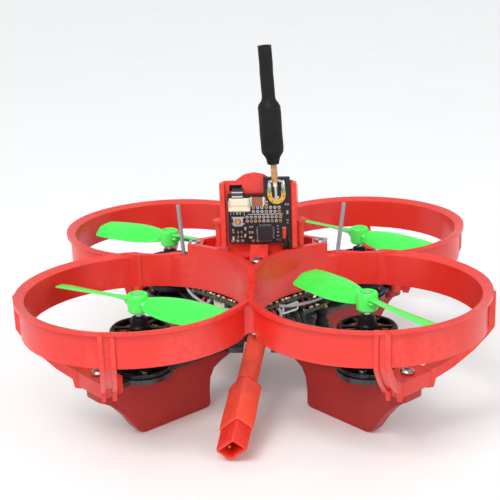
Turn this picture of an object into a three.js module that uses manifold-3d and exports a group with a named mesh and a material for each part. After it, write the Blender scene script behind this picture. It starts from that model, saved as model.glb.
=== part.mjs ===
// A palm-sized ducted quadcopter, in millimetres, +Z up, standing on its four leg fins at z = 0.
// +Y is the nose, where the camera looks, and -Y is the tail, with the battery lead and the aerial.
// The four corners are alike, so each is built once in a local frame (u outward, v across) and turned.

import * as THREE from "three";
import { mergeVertices } from "three/addons/utils/BufferGeometryUtils.js";
import Module from "manifold-3d";

const wasm = await Module();
wasm.setup();

// ---- driving dimensions ----
const HALF_SPAN = 26.515; // motor centres, along X and Y from the middle: 75 mm from corner to corner
const REACH = HALF_SPAN * Math.SQRT2; // middle of the drone to a motor's centre
const GAP = 0.3; // between pieces that touch

const FLANGE_TOP = 36; // the duct flanges' upper face
const FLANGE_THICK = 1;
const FLANGE_RADIUS = 28.2;
const WALL_BOTTOM = 27.3;
const WALL_OUTER = 27.2;
const WALL_INNER = 25.9;
const LIP_DROP = 0.8; // the flange slopes down to the duct's mouth
const DUCT_SEGMENTS = 48;
const DRILL_SEGMENTS = 8;

const ROOF_TOP = 38.8; // the lip of the raised star between the ducts
const ROOF_BOTTOM = 34.8;
const STAR_HALF_WIDTH = 17.6;
const STAR_HALF_LENGTH = 24.3;
const CREASE_WEB_NEAR = 30; // where two ducts meet, measured out from the middle
const CREASE_WEB_FAR = 36;
const CREASE_WEB_HALF = 1.1;
const ARCH_RADIUS = 3.2; // a low arch under the rear crease, over the battery lead
const ARCH_X = 0.9;
const ARCH_RISE = 1.1;
const RECESS_FLOOR = 36.2;
const RECESS_REACH = 20.2;
const LIP_RADIUS = 27.3; // the recess stops this far from each motor centre
const FRAME_SCREW_REACH = 16;
const TAB_SCREW_REACH = 13.4;
const SCREW_HOLE = 0.9;
const SCREW_HEAD_RADIUS = 1.6;
const SCREW_HEAD_HEIGHT = 0.75;
const SCREW_SEAT = 38.1; // the left and right stack screws sit in shallow counterbores

const PLATE_BOTTOM = 14.4; // the black cross plate
const PLATE_THICK = 1.2;
const PLATE_TOP = PLATE_BOTTOM + PLATE_THICK;
const LEG_THICK = 3.4;
const LEG_TOP = PLATE_BOTTOM - GAP;
const FOOT_BOTTOM = PLATE_TOP + GAP;
const FOOT_TOP = 18;
const FOOT_SCREW_U = 12.2;
const FOOT_END = 15;
const LEG_END = 14.2;
const ARM_HALF_WIDTH = 3.8;
const ARM_END = 13.8;

const MOTOR_BOTTOM = PLATE_TOP + GAP;
const BELL_RADIUS = 7.1;
const BELL_BOTTOM = 18.6;
const BELL_TOP = 26.4;
const BOSS_TOP = 29.8;
const SHAFT_RADIUS = 0.75;
const PROP_RADIUS = 23.8;
const HUB_TOP = 34.5;
const HUB_BOTTOM = 30.1;

const BOARD_THICK = 1;
const ESC_BOTTOM = 21.2;
const FC_BOTTOM = 25.8;
const FC_HALF_DIAGONAL = 18.2;
const ESC_HALF_DIAGONAL = 17.6;
const SPACER_RADIUS = 1.7;

const HOUSING_X = 0.9; // the camera housing's middle
const HOUSING_WIDTH = 18.7;
const HOUSING_REAR = -5.5;
const HOUSING_FRONT = 7.5;
const HOUSING_BOTTOM = ROOF_TOP + GAP;
const BASE_BOTTOM = RECESS_FLOOR + GAP;
const TAB_TOP = BASE_BOTTOM + 0.9;
const HOUSING_TOP = 56;
const ROOF_SLOPE = 0.27; // the roof falls towards the nose
const HOUSING_WALL = 1.2;
const REAR_WALL = 1;
const LUG_BOTTOM = 45; // the ring lugs on the two side posts
const LENS_HEIGHT = 47;

const LEAD_DIAMETER = 5;
const PLUG_PITCH = 22; // degrees below level
const PLUG_YAW = 7; // degrees to the left of straight back

const CORNERS = [
  { name: "rear_left", x: -1, y: -1, turn: 1, rest: -30 },
  { name: "rear_right", x: 1, y: -1, turn: -1, rest: -50 },
  { name: "front_left", x: -1, y: 1, turn: -1, rest: -25 },
  { name: "front_right", x: 1, y: 1, turn: 1, rest: -43 },
];

// The stack's screws hold both boards; the left and right ones run down through the star to the plate.
const STACK_SCREWS = [
  { side: "left", x: -FRAME_SCREW_REACH, y: 0 },
  { side: "right", x: FRAME_SCREW_REACH, y: 0 },
  { side: "rear", x: 0, y: -FRAME_SCREW_REACH },
  { side: "front", x: 0, y: FRAME_SCREW_REACH },
];
const TAB_SCREWS = [-TAB_SCREW_REACH, TAB_SCREW_REACH];

// Receiver aerial tubes, stood in holes beside the star; lean is in degrees outward.
const TUBE_RADIUS = 0.5;
const TUBE_BOTTOM = 34.6;
const TUBE_LENGTH = 14.1;
const RECEIVER_TUBES = [
  { name: "receiver_tube_left", x: -18.9, y: 0, lean: -3.5 },
  { name: "receiver_tube_right", x: 20, y: 0, lean: 7.5 },
];

const RED = { color: 0xe2352a, roughness: 0.38, metalness: 0 };
const GREEN = { color: 0x4ef05f, roughness: 0.35, metalness: 0 };
const BLACK_METAL = { color: 0x17181a, roughness: 0.4, metalness: 0.6 };
const CARBON = { color: 0x1b1c1e, roughness: 0.5, metalness: 0.1 };
const COPPER = { color: 0xb36a35, roughness: 0.35, metalness: 0.9 };
const STEEL = { color: 0xb9bcc0, roughness: 0.3, metalness: 0.9 };
const BOARD = { color: 0x14161a, roughness: 0.45, metalness: 0.1 };
const BLACK_SLEEVE = { color: 0x1a1a1b, roughness: 0.7, metalness: 0 };
const GREY_TUBE = { color: 0x8c8f94, roughness: 0.5, metalness: 0 };
const CREAM = { color: 0xe6dfc8, roughness: 0.5, metalness: 0 };
const COAX = { color: 0xb08a5a, roughness: 0.5, metalness: 0 };
const GLASS = { color: 0x10131c, roughness: 0.08, metalness: 0.1 };

const drone = new THREE.Group();

// ---- shapes: every helper gives or takes closed geometry that faces outward ----

// A closed geometry as a manifold solid, turned to face outward.
function solid(geometry) {
  const bare = geometry.index ? geometry.toNonIndexed() : geometry.clone();
  for (const name of Object.keys(bare.attributes)) {
    if (name !== "position") bare.deleteAttribute(name);
  }
  const merged = mergeVertices(bare, 1e-4);
  const make = (triVerts) =>
    new wasm.Manifold(
      new wasm.Mesh({ numProp: 3, vertProperties: merged.attributes.position.array, triVerts }),
    );
  const triVerts = new Uint32Array(merged.index.array);
  const made = make(triVerts);
  return made.volume() < 0 ? make(triVerts.reverse()) : made;
}

function geometryOf(manifold) {
  const mesh = manifold.getMesh();
  const points = new Float32Array(mesh.numVert * 3);
  for (let i = 0; i < mesh.numVert; i++) {
    points.set(mesh.vertProperties.subarray(i * mesh.numProp, i * mesh.numProp + 3), i * 3);
  }
  return new THREE.BufferGeometry()
    .setAttribute("position", new THREE.BufferAttribute(points, 3))
    .setIndex(new THREE.BufferAttribute(mesh.triVerts, 1));
}

const union = (...parts) => parts.reduce((all, part) => all.add(part));

function outline(points) {
  return new THREE.Shape(points.map(([x, y]) => new THREE.Vector2(x, y)));
}

// A flat outline pushed up from z0 to z1.
function prism(shape, z0, z1, curveSegments = 8) {
  const depth = z1 - z0;
  const geometry = new THREE.ExtrudeGeometry(shape, { depth, bevelEnabled: false, curveSegments });
  return geometry.translate(0, 0, z0);
}

// An outline of (distance, height) stood upright along a heading in degrees, centred on its thickness.
function upright(shape, thickness, heading = 0, shift = 0, curveSegments = 8) {
  const a = THREE.MathUtils.degToRad(heading);
  const geometry = prism(shape, shift - thickness / 2, shift + thickness / 2, curveSegments);
  const along = new THREE.Vector3(Math.cos(a), Math.sin(a), 0);
  const up = new THREE.Vector3(0, 0, 1);
  const across = new THREE.Vector3(Math.sin(a), -Math.cos(a), 0);
  return geometry.applyMatrix4(new THREE.Matrix4().makeBasis(along, up, across));
}

function roundedRect(width, height, radius) {
  const x = width / 2;
  const y = height / 2;
  const shape = new THREE.Shape();
  shape.moveTo(-x + radius, -y);
  shape.lineTo(x - radius, -y);
  shape.absarc(x - radius, -y + radius, radius, -Math.PI / 2, 0);
  shape.lineTo(x, y - radius);
  shape.absarc(x - radius, y - radius, radius, 0, Math.PI / 2);
  shape.lineTo(-x + radius, y);
  shape.absarc(-x + radius, y - radius, radius, Math.PI / 2, Math.PI);
  shape.lineTo(-x, -y + radius);
  shape.absarc(-x + radius, -y + radius, radius, Math.PI, Math.PI * 1.5);
  return shape;
}

// A profile of (radius, height) turned about Z. It starts and ends on the axis, or is closed on itself.
function turned(profile, segments) {
  const points = profile.map(([r, z]) => new THREE.Vector2(r, z));
  return new THREE.LatheGeometry(points, segments).rotateX(Math.PI / 2);
}

function rod(radius, z0, z1, segments = 16) {
  return turned([[0, z0], [radius, z0], [radius, z1], [0, z1]], segments);
}

function pipe(outer, inner, z0, z1, segments = 8) {
  return turned([[inner, z0], [outer, z0], [outer, z1], [inner, z1], [inner, z0]], segments);
}

function box(x0, x1, y0, y1, z0, z1) {
  const block = new THREE.BoxGeometry(x1 - x0, y1 - y0, z1 - z0);
  return block.translate((x0 + x1) / 2, (y0 + y1) / 2, (z0 + z1) / 2);
}

function add(name, part, look, parent = drone) {
  const geometry = part.isBufferGeometry ? geometryOf(solid(part)) : geometryOf(part);
  geometry.computeVertexNormals();
  const mesh = new THREE.Mesh(geometry, new THREE.MeshStandardMaterial({ ...look, flatShading: true }));
  mesh.name = name;
  parent.add(mesh);
  return mesh;
}

// A geometry from a corner's local frame, in the drone's frame.
function atCorner(geometry, corner) {
  return geometry
    .clone()
    .rotateZ(Math.atan2(corner.y, corner.x))
    .translate(corner.x * HALF_SPAN, corner.y * HALF_SPAN, 0);
}

// ---- duct frame: four ducts, the raised star between them, struts and feet ----

// A strut is a channel of two fins and a web, from the flange down and inward to the foot.
const STRUT_TOP_U = 20.9;
const STRUT_TOP_V = 18;
const STRUT_FOOT_U = 13;
const STRUT_FOOT_V = 5;
const STRUT_BOTTOM = 13.8; // the fins end beside the leg's head
const FIN_THICK = 1;
const FIN_OFFSET = 1.25;

function strutSolids(side) {
  const du = STRUT_FOOT_U - STRUT_TOP_U;
  const dv = (STRUT_FOOT_V - STRUT_TOP_V) * side;
  const length = Math.hypot(du, dv);
  const heading = THREE.MathUtils.radToDeg(Math.atan2(dv, du));
  const underFlange = FLANGE_TOP - FLANGE_THICK / 2;
  const inner = [[length, FOOT_TOP - GAP], [7.4, 21.4], [3.4, 25], [1, 27.6], [0.9, underFlange]];
  const outer = [[-0.6, underFlange], [-0.6, 27.2], [0.6, 25.6], [4.2, 21.9], [9, 18.2], [length - 2.2, 16],
    [length - 1.7, STRUT_BOTTOM], [length, STRUT_BOTTOM]];
  const fin = outline([...outer, ...inner]);
  const web = outline([[0.1, underFlange], [0.1, 27.3], [1.1, 26], [4.6, 22.4], [9.3, 18.9],
    [length - 1.7, 16.8], [length - 0.9, STRUT_BOTTOM + 0.8], [length, STRUT_BOTTOM + 0.8], ...inner]);
  const placed = (shape, thickness, shift) =>
    upright(shape, thickness, heading, shift).translate(STRUT_TOP_U, STRUT_TOP_V * side, 0);
  return [
    placed(fin, FIN_THICK, FIN_OFFSET),
    placed(fin, FIN_THICK, -FIN_OFFSET),
    placed(web, 2 * FIN_OFFSET, 0),
  ];
}

function ductFrame() {
  const disc = turned(
    [[0, WALL_BOTTOM], [WALL_OUTER, WALL_BOTTOM], [WALL_OUTER, FLANGE_TOP - FLANGE_THICK],
      [FLANGE_RADIUS, FLANGE_TOP - FLANGE_THICK], [FLANGE_RADIUS, FLANGE_TOP],
      [WALL_INNER, FLANGE_TOP - LIP_DROP], [0, FLANGE_TOP - LIP_DROP]],
    DUCT_SEGMENTS,
  );
  const opening = rod(WALL_INNER, WALL_BOTTOM - 0.5, ROOF_TOP + 1, DUCT_SEGMENTS);
  const outerFace = rod(WALL_OUTER, WALL_BOTTOM - 2, ROOF_TOP, DUCT_SEGMENTS);
  const recessFace = rod(LIP_RADIUS, RECESS_FLOOR - 1, ROOF_TOP + 2, DUCT_SEGMENTS);
  const cavityReach = FRAME_SCREW_REACH - 2.4;
  let frame = solid(
    box(-STAR_HALF_WIDTH, STAR_HALF_WIDTH, -STAR_HALF_LENGTH, STAR_HALF_LENGTH, WALL_BOTTOM, ROOF_TOP),
  );
  const belowRoof = box(-cavityReach, cavityReach, -cavityReach, cavityReach, WALL_BOTTOM - 1, ROOF_BOTTOM);
  let cavity = solid(belowRoof);
  let recess = solid(box(-13.8, 13.8, -RECESS_REACH, RECESS_REACH, RECESS_FLOOR, ROOF_TOP + 1));
  for (const corner of CORNERS) {
    cavity = cavity.subtract(solid(atCorner(outerFace, corner)));
    recess = recess.subtract(solid(atCorner(recessFace, corner)));
    frame = frame.add(solid(atCorner(disc, corner)));
  }
  for (const corner of CORNERS) {
    frame = frame.subtract(solid(atCorner(opening, corner)));
  }
  // A narrow web fills the crease where two neighbouring ducts meet on the outside.
  for (const quarter of [0, 1, 2, 3]) {
    const web = box(CREASE_WEB_NEAR, CREASE_WEB_FAR, -CREASE_WEB_HALF, CREASE_WEB_HALF,
      WALL_BOTTOM, FLANGE_TOP - GAP);
    frame = frame.add(solid(web.rotateZ((quarter * Math.PI) / 2)));
  }
  const arch = rod(ARCH_RADIUS, FRAME_SCREW_REACH + 2.5, CREASE_WEB_FAR + 1, 24)
    .rotateX(Math.PI / 2)
    .translate(ARCH_X, 0, WALL_BOTTOM + ARCH_RISE - ARCH_RADIUS);
  frame = frame.subtract(solid(arch));
  frame = frame.subtract(cavity).subtract(recess);
  const footLength = 6.2;
  const foot = prism(roundedRect(footLength, 11.4, 1.4), PLATE_BOTTOM, FOOT_TOP, 2)
    .translate(FOOT_END - footLength / 2, 0, 0);
  const armHalf = ARM_HALF_WIDTH + GAP;
  const armPocket = box(0, ARM_END + GAP, -armHalf, armHalf, PLATE_BOTTOM - 1, FOOT_BOTTOM);
  const footHole = rod(SCREW_HOLE, FOOT_BOTTOM - 1, FOOT_TOP + 1, 8).translate(FOOT_SCREW_U, 0, 0);
  for (const corner of CORNERS) {
    frame = frame.add(solid(atCorner(foot, corner)));
    frame = frame.subtract(solid(atCorner(armPocket, corner)));
    for (const side of [-1, 1]) {
      for (const piece of strutSolids(side)) {
        frame = frame.add(solid(atCorner(piece, corner)));
      }
    }
    frame = frame.subtract(solid(atCorner(footHole, corner)));
  }
  const drill = (x, y, radius, z0, z1) => {
    frame = frame.subtract(solid(rod(radius, z0, z1, DRILL_SEGMENTS).translate(x, y, 0)));
  };
  for (const { x, y } of STACK_SCREWS) {
    drill(x, y, SCREW_HOLE, WALL_BOTTOM - 1, x === 0 ? ROOF_BOTTOM : ROOF_TOP + 1);
    if (x !== 0) {
      drill(x, y, SCREW_HEAD_RADIUS + GAP, SCREW_SEAT, ROOF_TOP + 1);
    }
  }
  for (const y of TAB_SCREWS) {
    drill(HOUSING_X, y, SCREW_HOLE, ROOF_BOTTOM - 4, ROOF_TOP);
  }
  for (const tube of RECEIVER_TUBES) {
    drill(tube.x, tube.y, TUBE_RADIUS + GAP, TUBE_BOTTOM - 1, ROOF_TOP);
  }
  return frame;
}

// ---- cross plate, legs and the screws that clamp them ----

function crossPlate() {
  const arm = prism(roundedRect(REACH + ARM_END, 2 * ARM_HALF_WIDTH, 1.4), PLATE_BOTTOM, PLATE_TOP, 2);
  arm.translate(-(REACH - ARM_END) / 2, 0, 0);
  const pad = rod(7.3, PLATE_BOTTOM, PLATE_TOP, 16);
  const diamond = outline([[-19, 0], [-13, -8], [-7, -14.5], [7, -14.5], [13, -8], [19, 0],
    [7, 15], [-7, 15]]);
  const leadNotch = box(-3.4, 3.4, -16, -7.5, PLATE_BOTTOM - 1, PLATE_TOP + 1);
  const screwHole = rod(SCREW_HOLE, PLATE_BOTTOM - 1, PLATE_TOP + 1, 8);
  const footHole = screwHole.clone().translate(FOOT_SCREW_U, 0, 0);
  let plate = solid(prism(diamond, PLATE_BOTTOM, PLATE_TOP));
  for (const corner of CORNERS) {
    plate = union(plate, solid(atCorner(arm, corner)), solid(atCorner(pad, corner)));
    plate = plate.subtract(solid(atCorner(footHole, corner)));
  }
  plate = plate.subtract(solid(leadNotch));
  for (const x of [-FRAME_SCREW_REACH, FRAME_SCREW_REACH]) {
    plate = plate.subtract(solid(screwHole.clone().translate(x, 0, 0)));
  }
  return plate;
}

// A leg is a fin under its arm, deepest below the motor, with a pad for the foot screw.
function leg(corner) {
  const fin = outline([[-18.4, 0.4], [-17.4, 0], [1.2, 0], [2.6, 0.5], [3.5, 1.4], [4.5, 2.9], [5.9, 5],
    [8.2, 7.7], [10.8, 10.1], [13, 11.4], [LEG_END, 12.4], [LEG_END, LEG_TOP], [-27, LEG_TOP], [-27, 12.7],
    [-23, 11.4], [-20.4, 10], [-19.1, 7.6], [-18.7, 4.6], [-18.7, 1.2]]);
  const padLength = 5.4;
  const pad = prism(roundedRect(padLength, 7.4, 1.6), LEG_TOP - 2, LEG_TOP, 2)
    .translate(LEG_END - padLength / 2, 0, 0);
  const hole = rod(SCREW_HOLE, LEG_TOP - 6, LEG_TOP + 1, 8).translate(FOOT_SCREW_U, 0, 0);
  const whole = union(solid(upright(fin, LEG_THICK)), solid(pad)).subtract(solid(hole));
  return atCorner(geometryOf(whole), corner);
}

// A pan-head screw down the local Z axis.
function screw(headBottom, tip) {
  const shankRadius = 0.6;
  const headTop = headBottom + SCREW_HEAD_HEIGHT;
  return turned([[0, tip], [shankRadius, tip], [shankRadius, headBottom], [SCREW_HEAD_RADIUS, headBottom],
    [SCREW_HEAD_RADIUS, headTop - 0.4], [SCREW_HEAD_RADIUS * 0.6, headTop], [0, headTop]], 8);
}

// ---- motor and propeller, about the local Z axis ----

// Motor base: a mounting disc with the bearing tube that the shaft turns in.
function motorBase() {
  const bore = SHAFT_RADIUS + 0.05;
  return turned([[bore, MOTOR_BOTTOM], [6.9, MOTOR_BOTTOM], [6.9, MOTOR_BOTTOM + 0.9],
    [4.4, MOTOR_BOTTOM + 1.8], [1.9, MOTOR_BOTTOM + 1.8], [1.9, BELL_TOP - 1.9], [bore, BELL_TOP - 1.9],
    [bore, MOTOR_BOTTOM]], 14);
}

// Stator: nine wound teeth round a core that sits on the bearing tube.
function stator() {
  const bottom = MOTOR_BOTTOM + 2.5;
  const top = BELL_TOP - 2.4;
  const teeth = 9;
  let whole = solid(pipe(3.2, 1.9 + GAP / 2, bottom + 0.4, top - 0.4, 9));
  for (let i = 0; i < teeth; i++) {
    const coil = box(2.6, 5.7, -0.95, 0.95, bottom, top);
    whole = whole.add(solid(coil.rotateZ((2 * Math.PI * i) / teeth)));
  }
  return whole;
}

// Bell: a thin can with an open, six-spoked end.
function bell() {
  const wall = 0.75;
  const crown = BELL_TOP - 1.1;
  const bore = SHAFT_RADIUS + GAP / 2;
  const can = turned([[bore, crown], [BELL_RADIUS - wall, crown], [BELL_RADIUS - wall, BELL_BOTTOM],
    [BELL_RADIUS, BELL_BOTTOM], [BELL_RADIUS, BELL_TOP - 0.5], [BELL_RADIUS - 0.5, BELL_TOP], [2.2, BELL_TOP],
    [1.7, BELL_TOP + 0.9], [1.5, BOSS_TOP], [bore, BOSS_TOP], [bore, crown]], 18);
  const spokes = 6;
  let whole = solid(can);
  for (let i = 0; i < spokes; i++) {
    const from = (2 * Math.PI * i) / spokes + 0.2;
    const to = (2 * Math.PI * (i + 1)) / spokes - 0.2;
    const window = new THREE.Shape();
    window.absarc(0, 0, 5.7, from, to, false);
    window.absarc(0, 0, 2.9, to, from, true);
    whole = whole.subtract(solid(prism(window, crown - 1, BELL_TOP + 1, 2)));
  }
  return whole;
}

// Blade stations: radius, chord, pitch angle in degrees, thickness.
const BLADE = [
  [1.4, 3.4, 34, 1.5],
  [4, 5, 31, 1.2],
  [7, 6.6, 27, 1],
  [11, 7.8, 24, 0.9],
  [15, 8.2, 21, 0.85],
  [19, 8.2, 19, 0.8],
  [22.2, 7.8, 17, 0.75],
  [23.2, 7, 16.5, 0.7],
  [PROP_RADIUS, 5.2, 16, 0.65],
];
// Blade section: (along the chord, camber and thickness), each from -0.5 to 0.5 of its size.
const SECTION = [
  [-0.5, 0],
  [-0.3, -0.36],
  [0.05, -0.34],
  [0.5, -0.1],
  [0.5, 0.1],
  [0.05, 0.62],
  [-0.3, 0.5],
];

// One blade along +X as a loft of sections; turn is +1 when it spins counter-clockwise seen from above.
function blade(turn) {
  const middle = (HUB_TOP + HUB_BOTTOM) / 2;
  const points = [];
  for (const [radius, chord, pitch, thick] of BLADE) {
    const a = THREE.MathUtils.degToRad(pitch);
    for (const [s, t] of SECTION) {
      const along = -s * chord;
      const lift = t * thick;
      const y = along * Math.cos(a) - lift * Math.sin(a);
      const z = along * Math.sin(a) + lift * Math.cos(a);
      points.push(radius, y * turn, middle + z);
    }
  }
  const n = SECTION.length;
  const faces = [];
  for (let i = 0; i < BLADE.length - 1; i++) {
    for (let j = 0; j < n; j++) {
      const a = i * n + j;
      const b = i * n + ((j + 1) % n);
      faces.push(a, b, b + n, a, b + n, a + n);
    }
  }
  const last = (BLADE.length - 1) * n;
  for (let j = 1; j < n - 1; j++) {
    faces.push(0, j + 1, j);
    faces.push(last, last + j, last + j + 1);
  }
  const geometry = new THREE.BufferGeometry();
  geometry.setAttribute("position", new THREE.Float32BufferAttribute(points, 3));
  geometry.setIndex(faces);
  return geometry;
}

function propeller(turn) {
  const bore = SHAFT_RADIUS + GAP / 2;
  const hub = turned([[bore, HUB_BOTTOM], [2.5, HUB_BOTTOM], [2.5, HUB_TOP - 0.4], [2.1, HUB_TOP],
    [bore, HUB_TOP], [bore, HUB_BOTTOM]], 16);
  const hole = rod(bore, HUB_BOTTOM - 2, HUB_TOP + 2, 16);
  const blades = [blade(turn), blade(turn).rotateZ(Math.PI)];
  return union(solid(hub), ...blades.map(solid)).subtract(solid(hole));
}

// ---- the corners ----
for (const corner of CORNERS) {
  const motor = new THREE.Group();
  motor.position.set(corner.x * HALF_SPAN, corner.y * HALF_SPAN, 0);
  drone.add(motor);
  add(`motor_base_${corner.name}`, motorBase(), BLACK_METAL, motor);
  add(`motor_stator_${corner.name}`, stator(), COPPER, motor);
  add(`motor_bell_${corner.name}`, bell(), BLACK_METAL, motor);
  add(`motor_shaft_${corner.name}`, rod(SHAFT_RADIUS, MOTOR_BOTTOM + 0.2, HUB_TOP + 0.3), STEEL, motor);
  const prop = add(`propeller_${corner.name}`, propeller(corner.turn), GREEN, motor);
  prop.rotation.z = THREE.MathUtils.degToRad(corner.rest);
  add(`leg_${corner.name}`, leg(corner), RED);
  const footScrew = screw(FOOT_TOP + GAP, LEG_TOP - 1.6).translate(FOOT_SCREW_U, 0, 0);
  add(`foot_screw_${corner.name}`, atCorner(footScrew, corner), STEEL);
}
add("duct_frame", ductFrame(), RED);
add("cross_plate", crossPlate(), CARBON);

// ---- electronics stack: two boards turned 45 degrees, on spacers round the stack screws ----
function stackBoard(halfDiagonal, bottom) {
  const size = halfDiagonal * Math.SQRT2;
  const square = prism(roundedRect(size, size, 2.4), bottom, bottom + BOARD_THICK, 3);
  let board = solid(square.rotateZ(Math.PI / 4));
  for (const { x, y } of STACK_SCREWS) {
    const hole = rod(SCREW_HOLE, bottom - 1, bottom + BOARD_THICK + 1, DRILL_SEGMENTS);
    board = board.subtract(solid(hole.translate(x, y, 0)));
  }
  return board;
}

const BUTTON_X = -9;
const BUTTON_TOP_GAP = 0.35;

// The boot button is a little case on the board with its plunger standing out of it.
function buttonCase(board) {
  const size = 2.6;
  const bottom = FC_BOTTOM + BOARD_THICK - 0.2;
  const body = box(BUTTON_X - size / 2, BUTTON_X + size / 2, -size / 2, size / 2, bottom, bottom + 1.4);
  const well = rod(0.8, bottom + 0.4, bottom + 2, 16).translate(BUTTON_X, 0, 0);
  return board.add(solid(body)).subtract(solid(well));
}

add("flight_controller", buttonCase(stackBoard(FC_HALF_DIAGONAL, FC_BOTTOM)), BOARD);
const plungerBottom = FC_BOTTOM + BOARD_THICK + 0.2 + BUTTON_TOP_GAP;
add("boot_button", rod(0.7, plungerBottom, plungerBottom + 1.3, 16).translate(BUTTON_X, 0, 0), STEEL);
add("speed_controller", stackBoard(ESC_HALF_DIAGONAL, ESC_BOTTOM), BOARD);
for (const { side, x, y } of STACK_SCREWS) {
  const upper = pipe(SPACER_RADIUS, SCREW_HOLE, ESC_BOTTOM + BOARD_THICK + GAP, FC_BOTTOM - GAP);
  add(`upper_spacer_${side}`, upper.translate(x, y, 0), BLACK_METAL);
  if (x === 0) {
    // These two come up from below the boards into the star's solid ends.
    const upward = screw(-(ESC_BOTTOM - GAP), -(ROOF_BOTTOM - 1)).rotateX(Math.PI);
    add(`stack_screw_${side}`, upward.translate(x, y, 0), STEEL);
  } else {
    const lower = pipe(SPACER_RADIUS, SCREW_HOLE, PLATE_TOP + GAP, ESC_BOTTOM - GAP);
    add(`lower_spacer_${side}`, lower.translate(x, y, 0), BLACK_METAL);
    add(`stack_screw_${side}`, screw(SCREW_SEAT + GAP, PLATE_BOTTOM + 0.2).translate(x, y, 0), STEEL);
  }
}
["rear", "front"].forEach((side, i) => {
  const short = screw(TAB_TOP + GAP, ROOF_BOTTOM - 3.5).translate(HOUSING_X, TAB_SCREWS[i], 0);
  add(`tab_screw_${side}`, short, STEEL);
});

// ---- camera housing on the star, with its tabs, side posts, camera and video transmitter ----

// A housing geometry with its top brought down towards the nose, and its floor left level.
function sloped(geometry) {
  const bent = geometry.clone();
  const points = bent.attributes.position;
  for (let i = 0; i < points.count; i++) {
    const height = (points.getZ(i) - HOUSING_BOTTOM) / (HOUSING_TOP - HOUSING_BOTTOM);
    points.setZ(i, points.getZ(i) - ROOF_SLOPE * (points.getY(i) - HOUSING_REAR) * height);
  }
  return bent;
}

function cameraHousing() {
  const half = HOUSING_WIDTH / 2;
  const domeRadius = 6;
  const domeRise = 2;
  const domeMiddle = HOUSING_TOP + domeRise - domeRadius;
  const domeX = -HOUSING_X; // over the lens, on the drone's middle line
  const section = roundedRect(HOUSING_WIDTH, HOUSING_TOP - HOUSING_BOTTOM, 1.6);
  const depth = HOUSING_FRONT - HOUSING_REAR;
  const middleY = (HOUSING_FRONT + HOUSING_REAR) / 2;
  const middleZ = (HOUSING_TOP + HOUSING_BOTTOM) / 2;
  const shell = upright(section, depth, 0, 0, 3).translate(0, middleY, middleZ);
  const dome = rod(domeRadius, -depth / 2, depth / 2).rotateX(Math.PI / 2)
    .translate(domeX, middleY, domeMiddle);
  const inside = box(-half + HOUSING_WALL, half - HOUSING_WALL, HOUSING_REAR + REAR_WALL, HOUSING_FRONT + 1,
    HOUSING_BOTTOM + 1.4, HOUSING_TOP - HOUSING_WALL);
  const ribbonSlot = box(-7, -3.9, HOUSING_REAR - 1, HOUSING_REAR + REAR_WALL + 1,
    53.2, HOUSING_TOP - HOUSING_WALL);
  const innerDome = rod(domeRadius - HOUSING_WALL, -depth / 2 - 1, depth / 2 - REAR_WALL).rotateX(Math.PI / 2)
    .translate(domeX, middleY, domeMiddle);
  let whole = solid(sloped(shell)).add(solid(sloped(dome)));
  for (const hollow of [sloped(inside), sloped(innerDome), ribbonSlot]) {
    whole = whole.subtract(solid(hollow));
  }
  const rimTop = 55.5;
  const rimDepth = 1.5;
  const postReach = half + 0.7;
  const postRadius = 0.9;
  for (const side of [-1, 1]) {
    const place = [side * postReach, HOUSING_REAR + 1.4, 0];
    const post = rod(postRadius, HOUSING_BOTTOM, LUG_BOTTOM + 0.2, 12).translate(...place);
    const lug = rod(1.5, LUG_BOTTOM, LUG_BOTTOM + 0.8, 12).translate(...place);
    const bore = rod(0.5, LUG_BOTTOM - 4, LUG_BOTTOM + 2, DRILL_SEGMENTS).translate(...place);
    const wingFrom = Math.min(side * (half - 0.5), side * postReach);
    const wing = box(wingFrom, wingFrom + postReach - half + 0.5, HOUSING_REAR + 0.9, HOUSING_REAR + 1.9,
      HOUSING_BOTTOM, LUG_BOTTOM - 1.7);
    const rimFrom = Math.min(side * (half - HOUSING_WALL), side * half);
    const rim = box(rimFrom, rimFrom + HOUSING_WALL, HOUSING_REAR - rimDepth, HOUSING_REAR + 0.5,
      HOUSING_BOTTOM, rimTop);
    whole = union(whole, solid(rim), solid(post), solid(lug), solid(wing)).subtract(solid(bore));
  }
  return whole;
}

const STRAP_WIDTH = 4.4; // a strap runs from the rear wall down onto the rear tab
const STRAP_ROOT = -5.6;
const STRAP_BEND = -7.4;
const STRAP_TOE = -11.4;
const STRAP_TOP = 40;

// The base plate lies in the star's recess, with a tab to each of the two tab screws.
function housingBase() {
  const face = rod(LIP_RADIUS + GAP, BASE_BOTTOM - 1, ROOF_TOP + 4, DUCT_SEGMENTS);
  const pillar = box(-6.5, 6.5, HOUSING_REAR, HOUSING_FRONT, BASE_BOTTOM, HOUSING_BOTTOM + 1.4);
  let base = solid(box(-11, 11, HOUSING_REAR - 1.5, HOUSING_FRONT, BASE_BOTTOM, TAB_TOP)).add(solid(pillar));
  const tab = prism(roundedRect(4.5, 2 * (TAB_SCREW_REACH + 2), 1.2), BASE_BOTTOM, TAB_TOP, 3);
  base = base.add(solid(tab.translate(HOUSING_X, 0, 0)));
  const strapSide = outline([[STRAP_ROOT, TAB_TOP - 0.2], [STRAP_TOE, TAB_TOP - 0.2],
    [STRAP_TOE, TAB_TOP + 0.2], [STRAP_BEND, STRAP_TOP], [STRAP_ROOT, STRAP_TOP]]);
  base = base.add(solid(upright(strapSide, STRAP_WIDTH, 90).translate(HOUSING_X, 0, 0)));
  for (const corner of CORNERS) {
    base = base.subtract(solid(atCorner(face, corner)));
  }
  for (const y of TAB_SCREWS) {
    const hole = rod(SCREW_HOLE, BASE_BOTTOM - 1, TAB_TOP + 1, DRILL_SEGMENTS);
    base = base.subtract(solid(hole.translate(HOUSING_X, y, 0)));
  }
  return base;
}

const housing = solid(geometryOf(cameraHousing()).translate(HOUSING_X, 0, 0)).add(housingBase());
add("camera_housing", housing, RED);

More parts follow.
